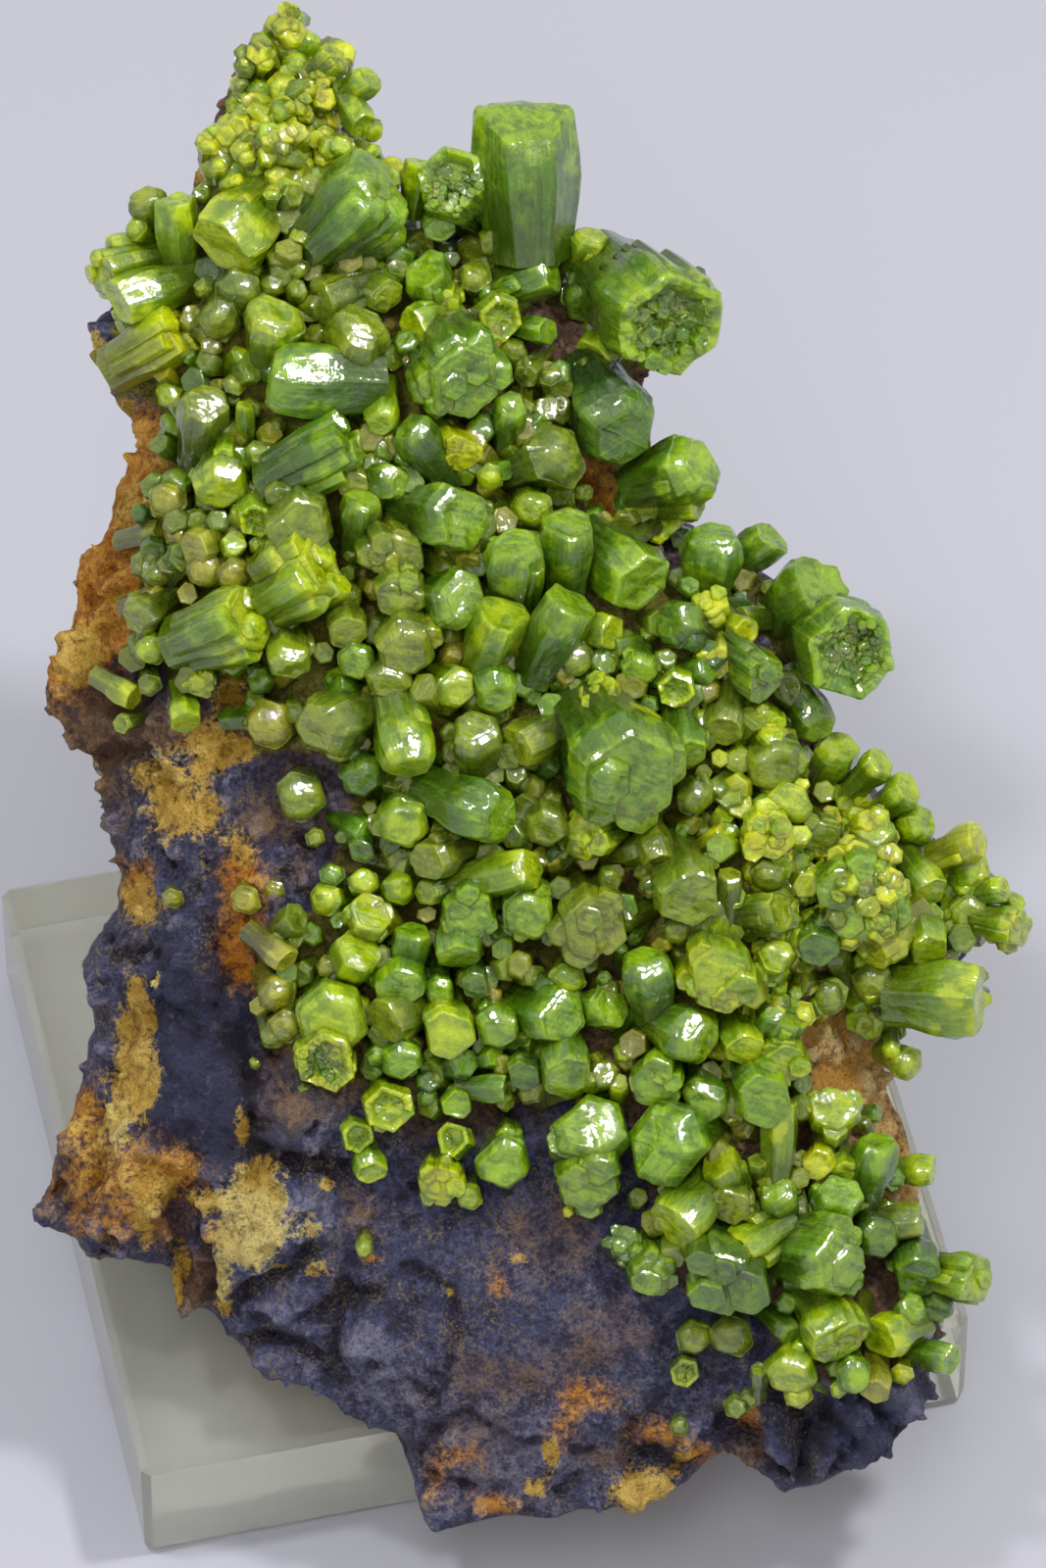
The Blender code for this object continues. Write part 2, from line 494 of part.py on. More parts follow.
def rock():
    """The rock, cut off flat where it rests on the block."""
    blank = as_object("rock_blank", sheet(ROCK_OUTLINE, ROCK_GRID, rock_front, rock_back, 3), True)
    below = bmesh.new()
    bmesh.ops.create_cube(below, size=0.4)
    for corner in below.verts:
        corner.co.z += (BLOCK_HEIGHT + GAP) * MM - 0.2
    floor = as_object("rock_foot_cutter", below, True)
    boolean(blank, "DIFFERENCE", floor)
    solid = evaluated(blank)
    tidy(solid)
    stone = as_object("matrix_rock", solid)
    stone.data.materials.append(material("iron_oxide_rock"))
    return stone


def rock_cutter(stone):
    """The rock grown outwards by the gap that the crystals keep from it."""
    solid = bmesh.new()
    solid.from_mesh(stone.data)
    solid.normal_update()
    for corner in solid.verts:
        corner.co += corner.normal * GAP * MM
    return as_object("rock_cutter", solid, True)


def crystal_body(name, base, crystals, seat, cutter, seed):
    """Crystals joined with the base that they grow from, fitted over the rock."""
    foot = as_object(name + "_base", base, True)
    grown = as_object(name + "_barrels", barrels(crystals, seat, seed), True)
    boolean(foot, "UNION", grown, crossing=True)
    boolean(foot, "DIFFERENCE", cutter)
    solid = evaluated(foot)
    tidy(solid)
    body = as_object(name, solid)
    body.data.materials.append(material("pyromorphite"))
    return body


def crust_front(x, y):
    inward = smooth(edge_distance(x, y, CRUST_OUTLINE) / CRUST_RIM_WIDTH)
    return rock_front(x, y) + CRUST_RIM + (CRUST_TOP - CRUST_RIM) * inward


def crust_back(x, y):
    return rock_front(x, y) - CRUST_ROOT


def build():
    clear_scene()
    display_block()
    stone = rock()
    cutter = rock_cutter(stone)
    crust = sheet(CRUST_OUTLINE, CRUST_GRID, crust_front, crust_back, 5)
    crystal_body("crystal_crust", crust, CRUST_CRYSTALS, CRUST_SEAT, cutter, 11)
    for seed, (name, crystals) in enumerate(GROUPS.items()):
        crystal_body(name, mound(crystals), crystals, MOUND_SEAT, cutter, 20 + seed)


build()
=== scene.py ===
"""A pyromorphite specimen on its clear display block: the finish of every surface.

Sizes are in millimetres until MM turns them into metres.
"""

import math
import random

import bmesh
import bpy
import numpy as np
from mathutils import Matrix, Vector, noise
from mathutils.bvhtree import BVHTree


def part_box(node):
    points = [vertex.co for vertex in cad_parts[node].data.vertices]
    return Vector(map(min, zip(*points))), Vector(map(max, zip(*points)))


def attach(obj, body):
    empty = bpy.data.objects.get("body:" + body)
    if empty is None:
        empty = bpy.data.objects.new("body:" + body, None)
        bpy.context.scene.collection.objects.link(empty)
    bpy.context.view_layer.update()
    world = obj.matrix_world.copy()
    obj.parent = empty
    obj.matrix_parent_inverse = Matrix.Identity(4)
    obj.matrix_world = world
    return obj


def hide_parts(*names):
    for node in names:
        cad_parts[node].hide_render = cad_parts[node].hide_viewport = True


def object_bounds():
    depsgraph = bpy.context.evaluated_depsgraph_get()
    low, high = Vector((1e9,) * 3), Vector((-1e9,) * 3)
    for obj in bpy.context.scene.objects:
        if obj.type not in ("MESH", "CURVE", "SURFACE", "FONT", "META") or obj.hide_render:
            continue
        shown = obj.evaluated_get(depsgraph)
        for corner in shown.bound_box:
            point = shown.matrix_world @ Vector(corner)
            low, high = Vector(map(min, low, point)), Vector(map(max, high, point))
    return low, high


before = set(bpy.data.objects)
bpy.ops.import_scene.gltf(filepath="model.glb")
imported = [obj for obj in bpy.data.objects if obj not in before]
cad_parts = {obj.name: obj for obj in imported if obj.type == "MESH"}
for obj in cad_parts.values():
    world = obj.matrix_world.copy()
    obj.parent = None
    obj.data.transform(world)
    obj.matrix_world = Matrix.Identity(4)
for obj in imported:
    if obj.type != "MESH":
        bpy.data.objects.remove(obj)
cad_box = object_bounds()
MM = 0.001


# ---- The display block -------------------------------------------------------------
# A rectangular block of cast acrylic, sawn from thick sheet, with its faces and small
# bevels polished by buffing. The specimen's weight alone holds it on the block.

ACRYLIC_TINT = "FAFCF2"
ACRYLIC_IOR = 1.49
ACRYLIC_CLARITY = 0.8
# The haze of buffing, drawn coarser than its real scratches so that it shows.
BUFFING_SCRATCH = 0.6


def linear(hex_colour):
    """An sRGB hex colour as linear red, green, blue and alpha."""
    channels = [int(hex_colour[i:i + 2], 16) / 255 for i in (0, 2, 4)]
    return [c / 12.92 if c <= 0.04045 else ((c + 0.055) / 1.055) ** 2.4 for c in channels] + [1.0]


def node(tree, kind, *values, output=0, **settings):
    """Adds a node with its settings, fills its open inputs in order, and gives one of its outputs.

    A value is a socket to link, an sRGB hex colour or a number, and None leaves an input alone.
    """
    added = tree.nodes.new("ShaderNode" + kind)
    named = {}
    for name, value in settings.items():
        if hasattr(added, name):
            setattr(added, name, value)
        else:
            named[name.replace("_", " ")] = value
    pairs = list(zip([socket for socket in added.inputs if socket.enabled], values))
    pairs += [(added.inputs[name], value) for name, value in named.items()]
    for socket, value in pairs:
        if isinstance(value, bpy.types.NodeSocket):
            tree.links.new(value, socket)
        elif value is not None:
            socket.default_value = linear(value) if isinstance(value, str) else value
    return [socket for socket in added.outputs if socket.enabled][output]


def new_material(name):
    """An empty material with its tree, its shader and its texture coordinates in metres."""
    made = bpy.data.materials.new(name)
    made.use_nodes = True
    tree = made.node_tree
    return made, tree, tree.nodes["Principled BSDF"], node(tree, "TexCoord", output=3)


def cast_acrylic():
    """Colourless and very clear, with the faint haze that buffing leaves."""
    made, tree, shader, spots = new_material("cast_acrylic")
    haze = node(tree, "TexNoise", spots, Scale=1 / (BUFFING_SCRATCH * MM), Detail=3.0)
    haze = node(tree, "MapRange", haze, To_Min=0.01, To_Max=0.09)
    tree.links.new(haze, shader.inputs["Roughness"])
    shader.inputs["Base Color"].default_value = linear(ACRYLIC_TINT)
    shader.inputs["IOR"].default_value = ACRYLIC_IOR
    shader.inputs["Transmission Weight"].default_value = ACRYLIC_CLARITY
    return made


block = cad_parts["acrylic_block"]
block.data.materials.clear()
block.data.materials.append(cast_acrylic())


# ---- The rock ----------------------------------------------------------------------
# Gossan, weathered iron ore: a blue-black oxide skin over limonite, which is ochre where
# powdery, orange-brown where dense and pale yellow where chalky. It broke off its vein,
# and is cut flat underneath, where it rests on the block.

FACE_WIDTH = 106.7
FACE_HEIGHT = 160.0
FACE_TILT = math.radians(38)
FACE_TURN = math.radians(-12.7)
FACE_CENTRE = Vector((5.25, 1.05, 66.5))
ACROSS = Vector((math.cos(FACE_TURN), math.sin(FACE_TURN), 0))
OUT = Matrix.Rotation(FACE_TURN, 3, "Z") @ Vector((0, -math.sin(FACE_TILT), math.cos(FACE_TILT)))
UP = OUT.cross(ACROSS)


def on_face(x, y, out=0.0):
    """A point by its place on the crystal face: x from the left, y down from the top."""
    across = x - FACE_WIDTH / 2
    up = FACE_HEIGHT / 2 - y
    return (FACE_CENTRE + ACROSS * across + UP * up + OUT * out) * MM


ROCK_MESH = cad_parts["matrix_rock"].data
ROCK_TREE = BVHTree.FromPolygons([v.co for v in ROCK_MESH.vertices],
                                 [p.vertices for p in ROCK_MESH.polygons])
ROCK_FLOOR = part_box("matrix_rock")[0].z
CRUST_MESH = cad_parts["crystal_crust"].data
CRUST_TREE = BVHTree.FromPolygons([v.co for v in CRUST_MESH.vertices],
                                  [p.vertices for p in CRUST_MESH.polygons])

# Cracks and clefts in the face: depth, width, then the points they run through.
ROCK_CLEFTS = [
    (2.6, 1.3, [(26.5, 118), (29, 119), (32, 118.6), (35, 119.8)]),
    (1.8, 0.9, [(23.5, 133.5), (26.5, 131.2), (29.3, 129.8), (31.5, 128)]),
    (1.5, 0.8, [(31, 134.6), (33, 134), (35.5, 132.2), (38, 131.8)]),
    (1.6, 0.8, [(35, 131.5), (34.5, 134), (33.8, 137), (33.6, 140)]),
    (1.8, 0.9, [(17.9, 122.5), (17.8, 128), (18.1, 133)]),
    (1.6, 0.8, [(19.7, 124), (20.6, 129), (21.4, 133)]),
    (1.2, 0.7, [(24.8, 106), (25.8, 111), (25, 117), (25.8, 121)]),
    (1.3, 0.7, [(64.9, 145), (64.2, 147.5), (64.3, 151)]),
    (2.2, 1.1, [(66.5, 148.7), (69, 150.4), (72, 150.8), (74.5, 148.6)]),
    (1.2, 0.7, [(42, 149), (44.5, 146), (48, 144.5), (52, 147.8), (55, 147.2)]),
    (2.4, 1.0, [(79, 141), (80.3, 145), (81.5, 149), (82.5, 152)]),
    (2.2, 1.0, [(73.8, 145.5), (76.5, 147), (79, 150.5)]),
    (1.6, 0.9, [(84, 143.5), (86.5, 147), (86, 150.5)]),
    (1.5, 0.8, [(88.5, 142), (90.5, 145.5), (93, 146)]),
    (1.0, 0.7, [(41, 129), (46, 131.5), (46.5, 137), (44, 143)]),
    (1.6, 0.9, [(8, 79), (11, 76.5), (14, 76.8), (17, 79)]),
    (1.4, 0.8, [(24, 137.5), (27.5, 136.6), (31, 138.6), (34.5, 141)]),
]

# Places where the face is dug out or stands proud: x, y, radius across and up, height.
ROCK_SPOTS = [
    (11.5, 70.5, 3.4, 3.0, -3.0), (14, 60.5, 0.9, 0.7, -1.2), (11, 60.5, 1.0, 0.8, -1.4),
    (14.2, 55.8, 0.7, 0.7, -1.2), (11.1, 126.8, 0.8, 1.0, -1.2), (15, 118.9, 1.1, 0.7, -1.4),
    (30, 113.5, 4.8, 4.2, 1.6), (20, 112, 5.0, 4.5, 1.2), (17.5, 107, 3.0, 2.5, 0.8),
    (25.5, 127, 4.0, 5.0, 1.2), (33, 123.5, 3.0, 3.0, 1.0), (30, 134, 2.6, 2.2, 1.2),
    (37, 137, 3.2, 2.6, 1.0), (27.5, 139, 2.4, 1.6, 1.2), (82.5, 146.5, 2.8, 3.0, -1.6),
    (87.5, 147, 3.0, 3.2, 1.6), (78.5, 149, 2.2, 2.4, 1.2), (92, 143, 2.6, 2.4, 1.2),
    (66, 152, 3.4, 1.5, 0.8), (24, 90, 3.0, 3.0, -0.8), (22.5, 97, 2.6, 2.6, -1.2),
    (27, 91, 1.6, 1.6, 0.8), (86, 108, 3.4, 4.0, -1.0), (45, 154, 2.5, 2.0, 0.8),
]

# Patches of weathered colour on the face: x, y, radius across and up, strength.
WEATHERING = {
    "soot": [
        (19, 111, 5.0, 9.0, 1.6), (26, 103, 4.0, 6.0, 1.0), (17, 101, 2.0, 4.0, 1.0),
        (28, 112, 3.5, 4.5, 1.2), (36, 108, 4.0, 4.0, 0.8), (50, 115, 6.0, 4.0, 0.6),
        (88, 146, 7.0, 4.0, 0.8), (74, 132, 5.0, 5.0, 0.7), (30, 80, 5.0, 6.0, 0.5),
    ],
    "bloom": [
        (52, 149, 9.0, 5.0, 0.9), (38, 140, 6.0, 4.0, 0.6), (62, 133, 8.0, 6.0, 0.25),
        (70, 140, 5.0, 4.0, 0.3),
    ],
    "sand": [
        (83.5, 104, 3.2, 3.6, 1.3), (88, 110, 4.2, 5.0, 1.5), (91, 119, 3.0, 5.5, 1.4),
        (94, 125, 2.4, 3.0, 1.2), (73.5, 117, 2.0, 1.5, 1.1), (85, 100, 2.6, 2.0, 0.9),
    ],
    "ochre": [
        (20.5, 17.5, 2.0, 4.5, 0.7), (17.5, 81, 6.5, 8.5, 0.35), (12.5, 55.5, 3.0, 5.0, 0.3),
        (10.5, 61, 3.0, 3.5, 0.35), (6.5, 68, 2.0, 3.0, 0.4), (13.5, 51.5, 3.2, 3.0, 0.7),
        (16.5, 48.5, 2.2, 2.6, 0.7), (8.3, 66, 2.6, 3.4, 0.6), (18, 45, 1.6, 2.4, 0.8),
        (23.3, 70.5, 1.7, 2.6, 1.0), (21.8, 76, 2.4, 2.4, 1.0), (24.4, 76.5, 1.8, 1.2, 0.9),
        (16, 79.5, 3.2, 1.8, 0.75), (19.5, 83, 3.0, 2.2, 0.7), (14, 92, 2.2, 2.6, 0.8),
        (13.6, 104, 1.8, 4.5, 1.1), (13.8, 110, 2.6, 3.4, 1.1), (15.2, 111.5, 1.2, 2.0, 0.8),
        (15.8, 121.5, 2.4, 2.2, 0.9), (14.6, 125.5, 0.9, 3.0, 0.8), (9.5, 117, 5.0, 6.5, 0.5),
        (22, 122.5, 3.4, 1.6, 0.9), (22.5, 133, 1.3, 1.8, 1.0), (17.5, 131, 0.8, 3.5, 0.8),
        (65.8, 153, 3.2, 2.4, 1.3), (56.3, 148.5, 0.9, 2.2, 1.0), (54.6, 152, 1.5, 1.2, 0.9),
        (83.8, 105, 2.8, 3.4, 1.2), (87.6, 109.5, 3.2, 4.2, 1.2), (90.3, 118, 2.4, 5.0, 1.1),
        (93, 122, 1.6, 2.6, 0.9), (73.2, 116.5, 1.8, 1.3, 1.0), (9.5, 35.5, 0.9, 3.0, 0.9),
        (12.3, 41.5, 1.2, 2.2, 0.9), (53, 128.5, 1.6, 1.4, 0.5), (70, 149.5, 1.4, 1.4, 0.7),
        (24.5, 115, 0.7, 3.0, 0.7), (24.8, 87, 1.6, 2.2, 0.7), (33.5, 120.8, 0.8, 0.7, 0.9),
        (32.5, 130, 1.8, 0.8, 0.6),
    ],
    "rust": [
        (12.0, 54.0, 4.6, 9.5, 1.5), (9.5, 61, 5.5, 5.0, 1.5), (5.5, 66, 3.0, 6.0, 0.9),
        (14, 46, 3.0, 4.0, 1.2), (10, 63.5, 3.6, 2.6, 0.9), (16, 57, 2.5, 5.0, 0.6),
        (14.8, 48.8, 2.6, 1.2, 0.8), (12, 121, 7.5, 6.0, 0.65), (8, 114, 2.4, 4.0, 0.6),
        (17.5, 120.0, 3.0, 2.2, 0.7), (23, 126.2, 2.2, 1.4, 0.9), (60, 142.5, 3.0, 2.0, 0.6),
        (67.5, 146.5, 3.4, 1.8, 0.6), (71.5, 149, 1.8, 1.4, 0.7), (44.5, 151, 2.0, 3.4, 0.5),
        (51, 154, 3.0, 1.4, 0.7), (57.5, 146, 2.0, 2.4, 0.6), (24.5, 89.5, 2.4, 3.2, 0.9),
        (24.5, 96.5, 2.8, 4.4, 1.0), (22, 69, 2.0, 2.5, 0.7), (60.5, 47.5, 2.2, 2.0, 1.2),
        (61.5, 51.5, 2.0, 1.6, 1.2), (42.8, 57, 2.0, 1.4, 1.2), (45.2, 74.5, 1.4, 2.6, 1.2),
        (81, 101, 3.0, 2.6, 1.1), (14, 90, 2.0, 2.4, 0.9), (93.5, 125, 2.0, 2.4, 0.8),
        (76, 144.5, 1.8, 2.0, 0.7), (51, 131, 1.6, 1.6, 0.5), (47, 148.5, 2.4, 1.4, 0.5),
        (38, 128.4, 1.6, 0.5, 0.7),
    ],
    "pale": [
        (12, 114.6, 1.5, 2.2, 1.3), (26.2, 121.5, 3.2, 3.0, 1.1), (25.5, 126, 3.6, 2.8, 1.1),
        (22.6, 130.5, 1.2, 2.6, 1.0), (16.2, 100, 0.5, 0.9, 1.0), (27.8, 129.8, 1.6, 0.5, 1.0),
        (33.4, 120.8, 0.5, 0.5, 1.0), (32, 125, 2.2, 2.2, 0.4), (33, 129.4, 1.6, 0.7, 0.6),
        (88.5, 115, 1.4, 2.6, 0.7), (45.8, 132, 0.35, 0.45, 0.9), (85, 105.5, 1.4, 1.4, 0.6),
    ],
    "brown": [
        (22.5, 14, 3.5, 11, 1.4), (24.5, 5, 3.5, 6, 1.3), (5.6, 69, 2.6, 7.0, 1.2),
        (9.5, 78, 2.6, 6.0, 1.1), (12, 90, 1.8, 3.6, 0.8), (7, 121, 4.5, 5.0, 0.9),
        (19.4, 131, 2.0, 3.4, 1.1), (15.8, 125.5, 1.6, 2.6, 0.9), (30, 112.5, 4.6, 4.2, 0.4),
        (29.5, 106.5, 3.4, 2.4, 0.4), (35.5, 110.5, 3.0, 1.8, 0.6), (52, 140, 9.0, 3.0, 0.4),
        (62, 136, 6.0, 4.0, 0.4), (56, 126, 6.0, 4.0, 0.45), (46.5, 113.5, 9.0, 2.6, 0.5),
        (48, 148, 6.0, 5.0, 0.45), (36.5, 124, 3.0, 3.0, 0.5), (20, 74.5, 5.0, 2.0, 0.9),
        (76, 149, 2.4, 2.0, 0.9), (12, 74, 3.0, 2.2, 0.9), (62, 148.5, 3.0, 2.0, 0.5),
        (27, 84, 3.0, 2.0, 0.4), (22, 64, 8.0, 10.0, 0.6), (30, 22, 9.0, 14.0, 1.0),
        (55, 75, 28.0, 30.0, 0.7), (60, 36, 10.0, 9.0, 1.3),
    ],
}
# Patches of colour on the back and sides: their size, and each one's place in the noise and share.
BACK_PATCH = 16
BACK_COLOURS = (("brown", 3.0, 0.95), ("rust", 13.0, 0.75), ("ochre", 23.0, 0.62),
                ("pale", 33.0, 0.40))

# The mesh is split finer where the rock is bare than where crystals hide it.
ROCK_LEVELS = 2
BARE_EDGE = 2.7
HIDDEN_EDGE = 7.4

# Heights and widths of the broken surface, from large lumps down to grain.
ROCK_LUMP = 0.9
ROCK_LUMP_SIZE = 5.0
ROCK_CRAG = 0.75
ROCK_CRAG_SIZE = 2.1
ROCK_CLOD = 0.75
ROCK_CLOD_SIZE = 2.6
ROCK_GRAIN = 0.16
ROCK_GRAIN_SIZE = 0.8
LEDGE_STEP = 1.5
# The clods drift from a set start, so that the rock breaks in the same way every time.
noise.seed_set(4)


def face_place(point):
    """A point's place on the crystal face, in millimetres: x, y and height out of it."""
    away = point / MM - FACE_CENTRE
    return away.dot(ACROSS) + FACE_WIDTH / 2, FACE_HEIGHT / 2 - away.dot(UP), away.dot(OUT)


def run_distance(x, y, points):
    """The distance from a line of points, and how far along it the nearest spot lies."""
    best = math.inf
    for (ax, ay), (bx, by) in zip(points, points[1:]):
        dx, dy = bx - ax, by - ay
        along = ((x - ax) * dx + (y - ay) * dy) / (dx * dx + dy * dy)
        along = min(max(along, 0.0), 1.0)
        best = min(best, math.hypot(x - ax - along * dx, y - ay - along * dy))
    return best


def carve(x, y):
    """How far the face stands proud of its plain form at a place."""
    wander = Vector((x / 2.2, y / 2.2, 4.0))
    x += 0.6 * noise.noise(wander)
    y += 0.6 * noise.noise(wander + Vector((9, 4, 2)))
    height = 0.0
    for depth, width, points in ROCK_CLEFTS:
        away = run_distance(x, y, points) / width
        if away < 3:
            height -= depth * math.exp(-away * away)
    for spot_x, spot_y, across, up, proud in ROCK_SPOTS:
        apart = ((x - spot_x) / across) ** 2 + ((y - spot_y) / up) ** 2
        if apart < 6:
            height += proud * math.exp(-apart * apart)
    return height


def ledges(height, craggy):
    """Breaks a smooth height into steps where the rock is craggy."""
    step = LEDGE_STEP * math.floor(height / LEDGE_STEP + 0.5)
    return height + craggy * 0.55 * (step - height)


def rough_height(spot, craggy):
    """Lumps, clods, crags and grain of broken rock, in millimetres."""
    lump = noise.fractal(spot / ROCK_LUMP_SIZE, 1.0, 2.1, 3)
    crag = noise.hetero_terrain(spot / ROCK_CRAG_SIZE, 0.9, 2.2, 3, 0.6)
    drift = 0.6 * noise.noise_vector(spot / 3.0)
    clod = 0.5 - noise.voronoi((spot + drift) / ROCK_CLOD_SIZE)[0][0]
    grain = noise.noise(spot / ROCK_GRAIN_SIZE)
    height = ROCK_LUMP * (0.5 + craggy) * lump + ROCK_CRAG * (0.25 + craggy) * (crag - 0.7)
    height += ROCK_CLOD * craggy * clod
    return ledges(height, craggy) + ROCK_GRAIN * (0.4 + craggy) * grain


def cragginess(x, y, facing):
    """1 where the rock broke, 0 where its old skin is smooth and rounded."""
    if facing < 0.15:
        return 0.75 if facing < -0.35 else 0.35
    smooth_skin = math.exp(-(((x - 56) / 18) ** 2 + ((y - 131) / 15) ** 2))
    inlets = math.exp(-(((x - 20) / 6) ** 2 + ((y - 110) / 7) ** 2))
    return min(max(0.85 - 0.8 * smooth_skin - 0.4 * inlets, 0.0), 1.0)


def crust_covers(point):
    """Whether crystals cover the rock at a point."""
    return CRUST_TREE.ray_cast(point + OUT * 0.5 * MM, OUT)[0] is not None


def weathering(points, facings):
    """The strength of each weathered colour at every point."""
    face = np.array([face_place(p) for p in points])
    front = np.clip((np.array(facings) + 0.3) / 0.3, 0, 1)
    strengths = {}
    for colour, patches in WEATHERING.items():
        total = np.zeros(len(points))
        for x, y, across, up, strength in patches:
            apart = ((face[:, 0] - x) / across) ** 2 + ((face[:, 1] - y) / up) ** 2
            total += strength * np.exp(-apart)
        strengths[colour] = total * front
    under = np.array([float(facing > 0.2 and crust_covers(p))
                      for p, facing in zip(points, facings)])
    strengths["brown"] += 0.9 * under
    strengths["film"] = 0.75 * under * np.clip((125 - face[:, 1]) / 30, 0.2, 1)
    for colour, shift, share in BACK_COLOURS:
        place = Vector((shift, shift, 0))
        drift = [noise.fractal(p / (BACK_PATCH * MM) + place, 1.0, 2.0, 3) for p in points]
        strengths[colour] += (1 - front) * share * (0.5 + np.array(drift))
    return strengths


def longest_edge(edge):
    """How long an edge of the bare rock, or of hidden rock, may be."""
    middle = (edge.verts[0].co + edge.verts[1].co) / 2
    outward = sum((f.normal for f in edge.link_faces), Vector())
    bare = outward.dot(OUT) > 0.1 and not crust_covers(middle)
    return BARE_EDGE if bare else HIDDEN_EDGE


def rock_piece():
    """The rock's own broken surface, worked up from its solid."""
    rough = bpy.data.objects.new("rough_rock", ROCK_MESH.copy())
    bpy.context.collection.objects.link(rough)
    form = bmesh.new()
    form.from_mesh(rough.data)
    bmesh.ops.remove_doubles(form, verts=form.verts, dist=0.002 * MM)
    bmesh.ops.dissolve_limit(form, angle_limit=math.radians(0.5), verts=form.verts,
                             edges=form.edges)
    bmesh.ops.triangulate(form, faces=form.faces, quad_method="BEAUTY", ngon_method="BEAUTY")
    for _ in range(5):
        form.normal_update()
        long_edges = [e for e in form.edges if e.calc_length() > longest_edge(e) * MM]
        bmesh.ops.subdivide_edges(form, edges=long_edges, cuts=1)
        bmesh.ops.triangulate(form, faces=form.faces)
    crease = form.edges.layers.float.new("crease_edge")
    for edge in form.edges:
        if all(v.co.z < ROCK_FLOOR + 0.01 * MM for v in edge.verts):
            edge[crease] = 1.0
    form.to_mesh(rough.data)
    form.free()
    finer = rough.modifiers.new("finer", "SUBSURF")
    finer.levels = ROCK_LEVELS
    finer.render_levels = ROCK_LEVELS
    smoothed = rough.evaluated_get(bpy.context.evaluated_depsgraph_get())
    mesh = bpy.data.meshes.new_from_object(smoothed)
    bpy.data.objects.remove(rough, do_unlink=True)
    starts = [v.co.copy() for v in mesh.vertices]
    normals = [v.normal.copy() for v in mesh.vertices]
    facings = [n.dot(OUT) for n in normals]
    relief = np.zeros(len(starts), dtype=np.float32)
    spots = zip(mesh.vertices, starts, normals, facings)
    for i, (corner, start, normal, facing) in enumerate(spots):
        if start.z < ROCK_FLOOR + 0.01 * MM:
            continue
        x, y, _ = face_place(start)
        craggy = cragginess(x, y, facing)
        height = rough_height(start / MM, craggy) - 0.35
        if abs(facing) < 0.3:
            height = min(max(height, -0.8), 0.35)
        if facing > 0.1:
            height += carve(x, y) * min((facing - 0.1) / 0.3, 1)
        relief[i] = height
        settle = min((start.z - ROCK_FLOOR) / (2.5 * MM), 1)
        corner.co = start + normal * height * settle * MM
        corner.co.z = max(corner.co.z, ROCK_FLOOR + 0.02 * MM)
        corner.co = [min(max(c, low), high) for c, low, high in zip(corner.co, *cad_box)]
    for colour, strength in weathering(starts, facings).items():
        layer = mesh.attributes.new(colour, "FLOAT", "POINT")
        layer.data.foreach_set("value", strength.astype(np.float32))
    layer = mesh.attributes.new("relief", "FLOAT", "POINT")
    layer.data.foreach_set("value", relief)
    mesh.shade_smooth()
    piece = bpy.data.objects.new("gossan", mesh)
    bpy.context.collection.objects.link(piece)
    return piece


OXIDE_DEEP = "28294A"
OXIDE_SKIN = "525A8A"
OXIDE_BLOOM = "8C8EB4"
DUST = "989284"
OCHRE_FLECK = "9C8650"
PIT_BROWN = "3A2A20"
# Stains from the lowest up: dense and loose colour, how solid the stain is and how soft its edge.
ROCK_COLOURS = (("soot", "14162E", "32365A", 0.94, 0.7), ("bloom", "6A6C8A", "A0A2BE", 0.80, 0.9),
                ("brown", "745236", "A8845C", 0.85, 0.8), ("rust", "CE800E", "FFBC48", 0.92, 0.7),
                ("ochre", "CC9E30", "FAD26A", 0.95, 0.35), ("film", "6E6C22", "A29E3C", 0.90, 0.4),
                ("sand", "F2B458", "FFE4A4", 0.97, 0.4), ("pale", "DCB444", "FCE48A", 0.93, 0.3))
STAIN_EDGE = 0.46
# Patches, flecks, specks and grit, which is drawn coarser than the real powder so that it shows.
PATCH_SIZE = 3.2
FLECK_SIZE = 0.8
SPECK_SIZE = 0.35
GRIT_SIZE = 0.4
SMOOTH = {"interpolation_type": "SMOOTHSTEP"}


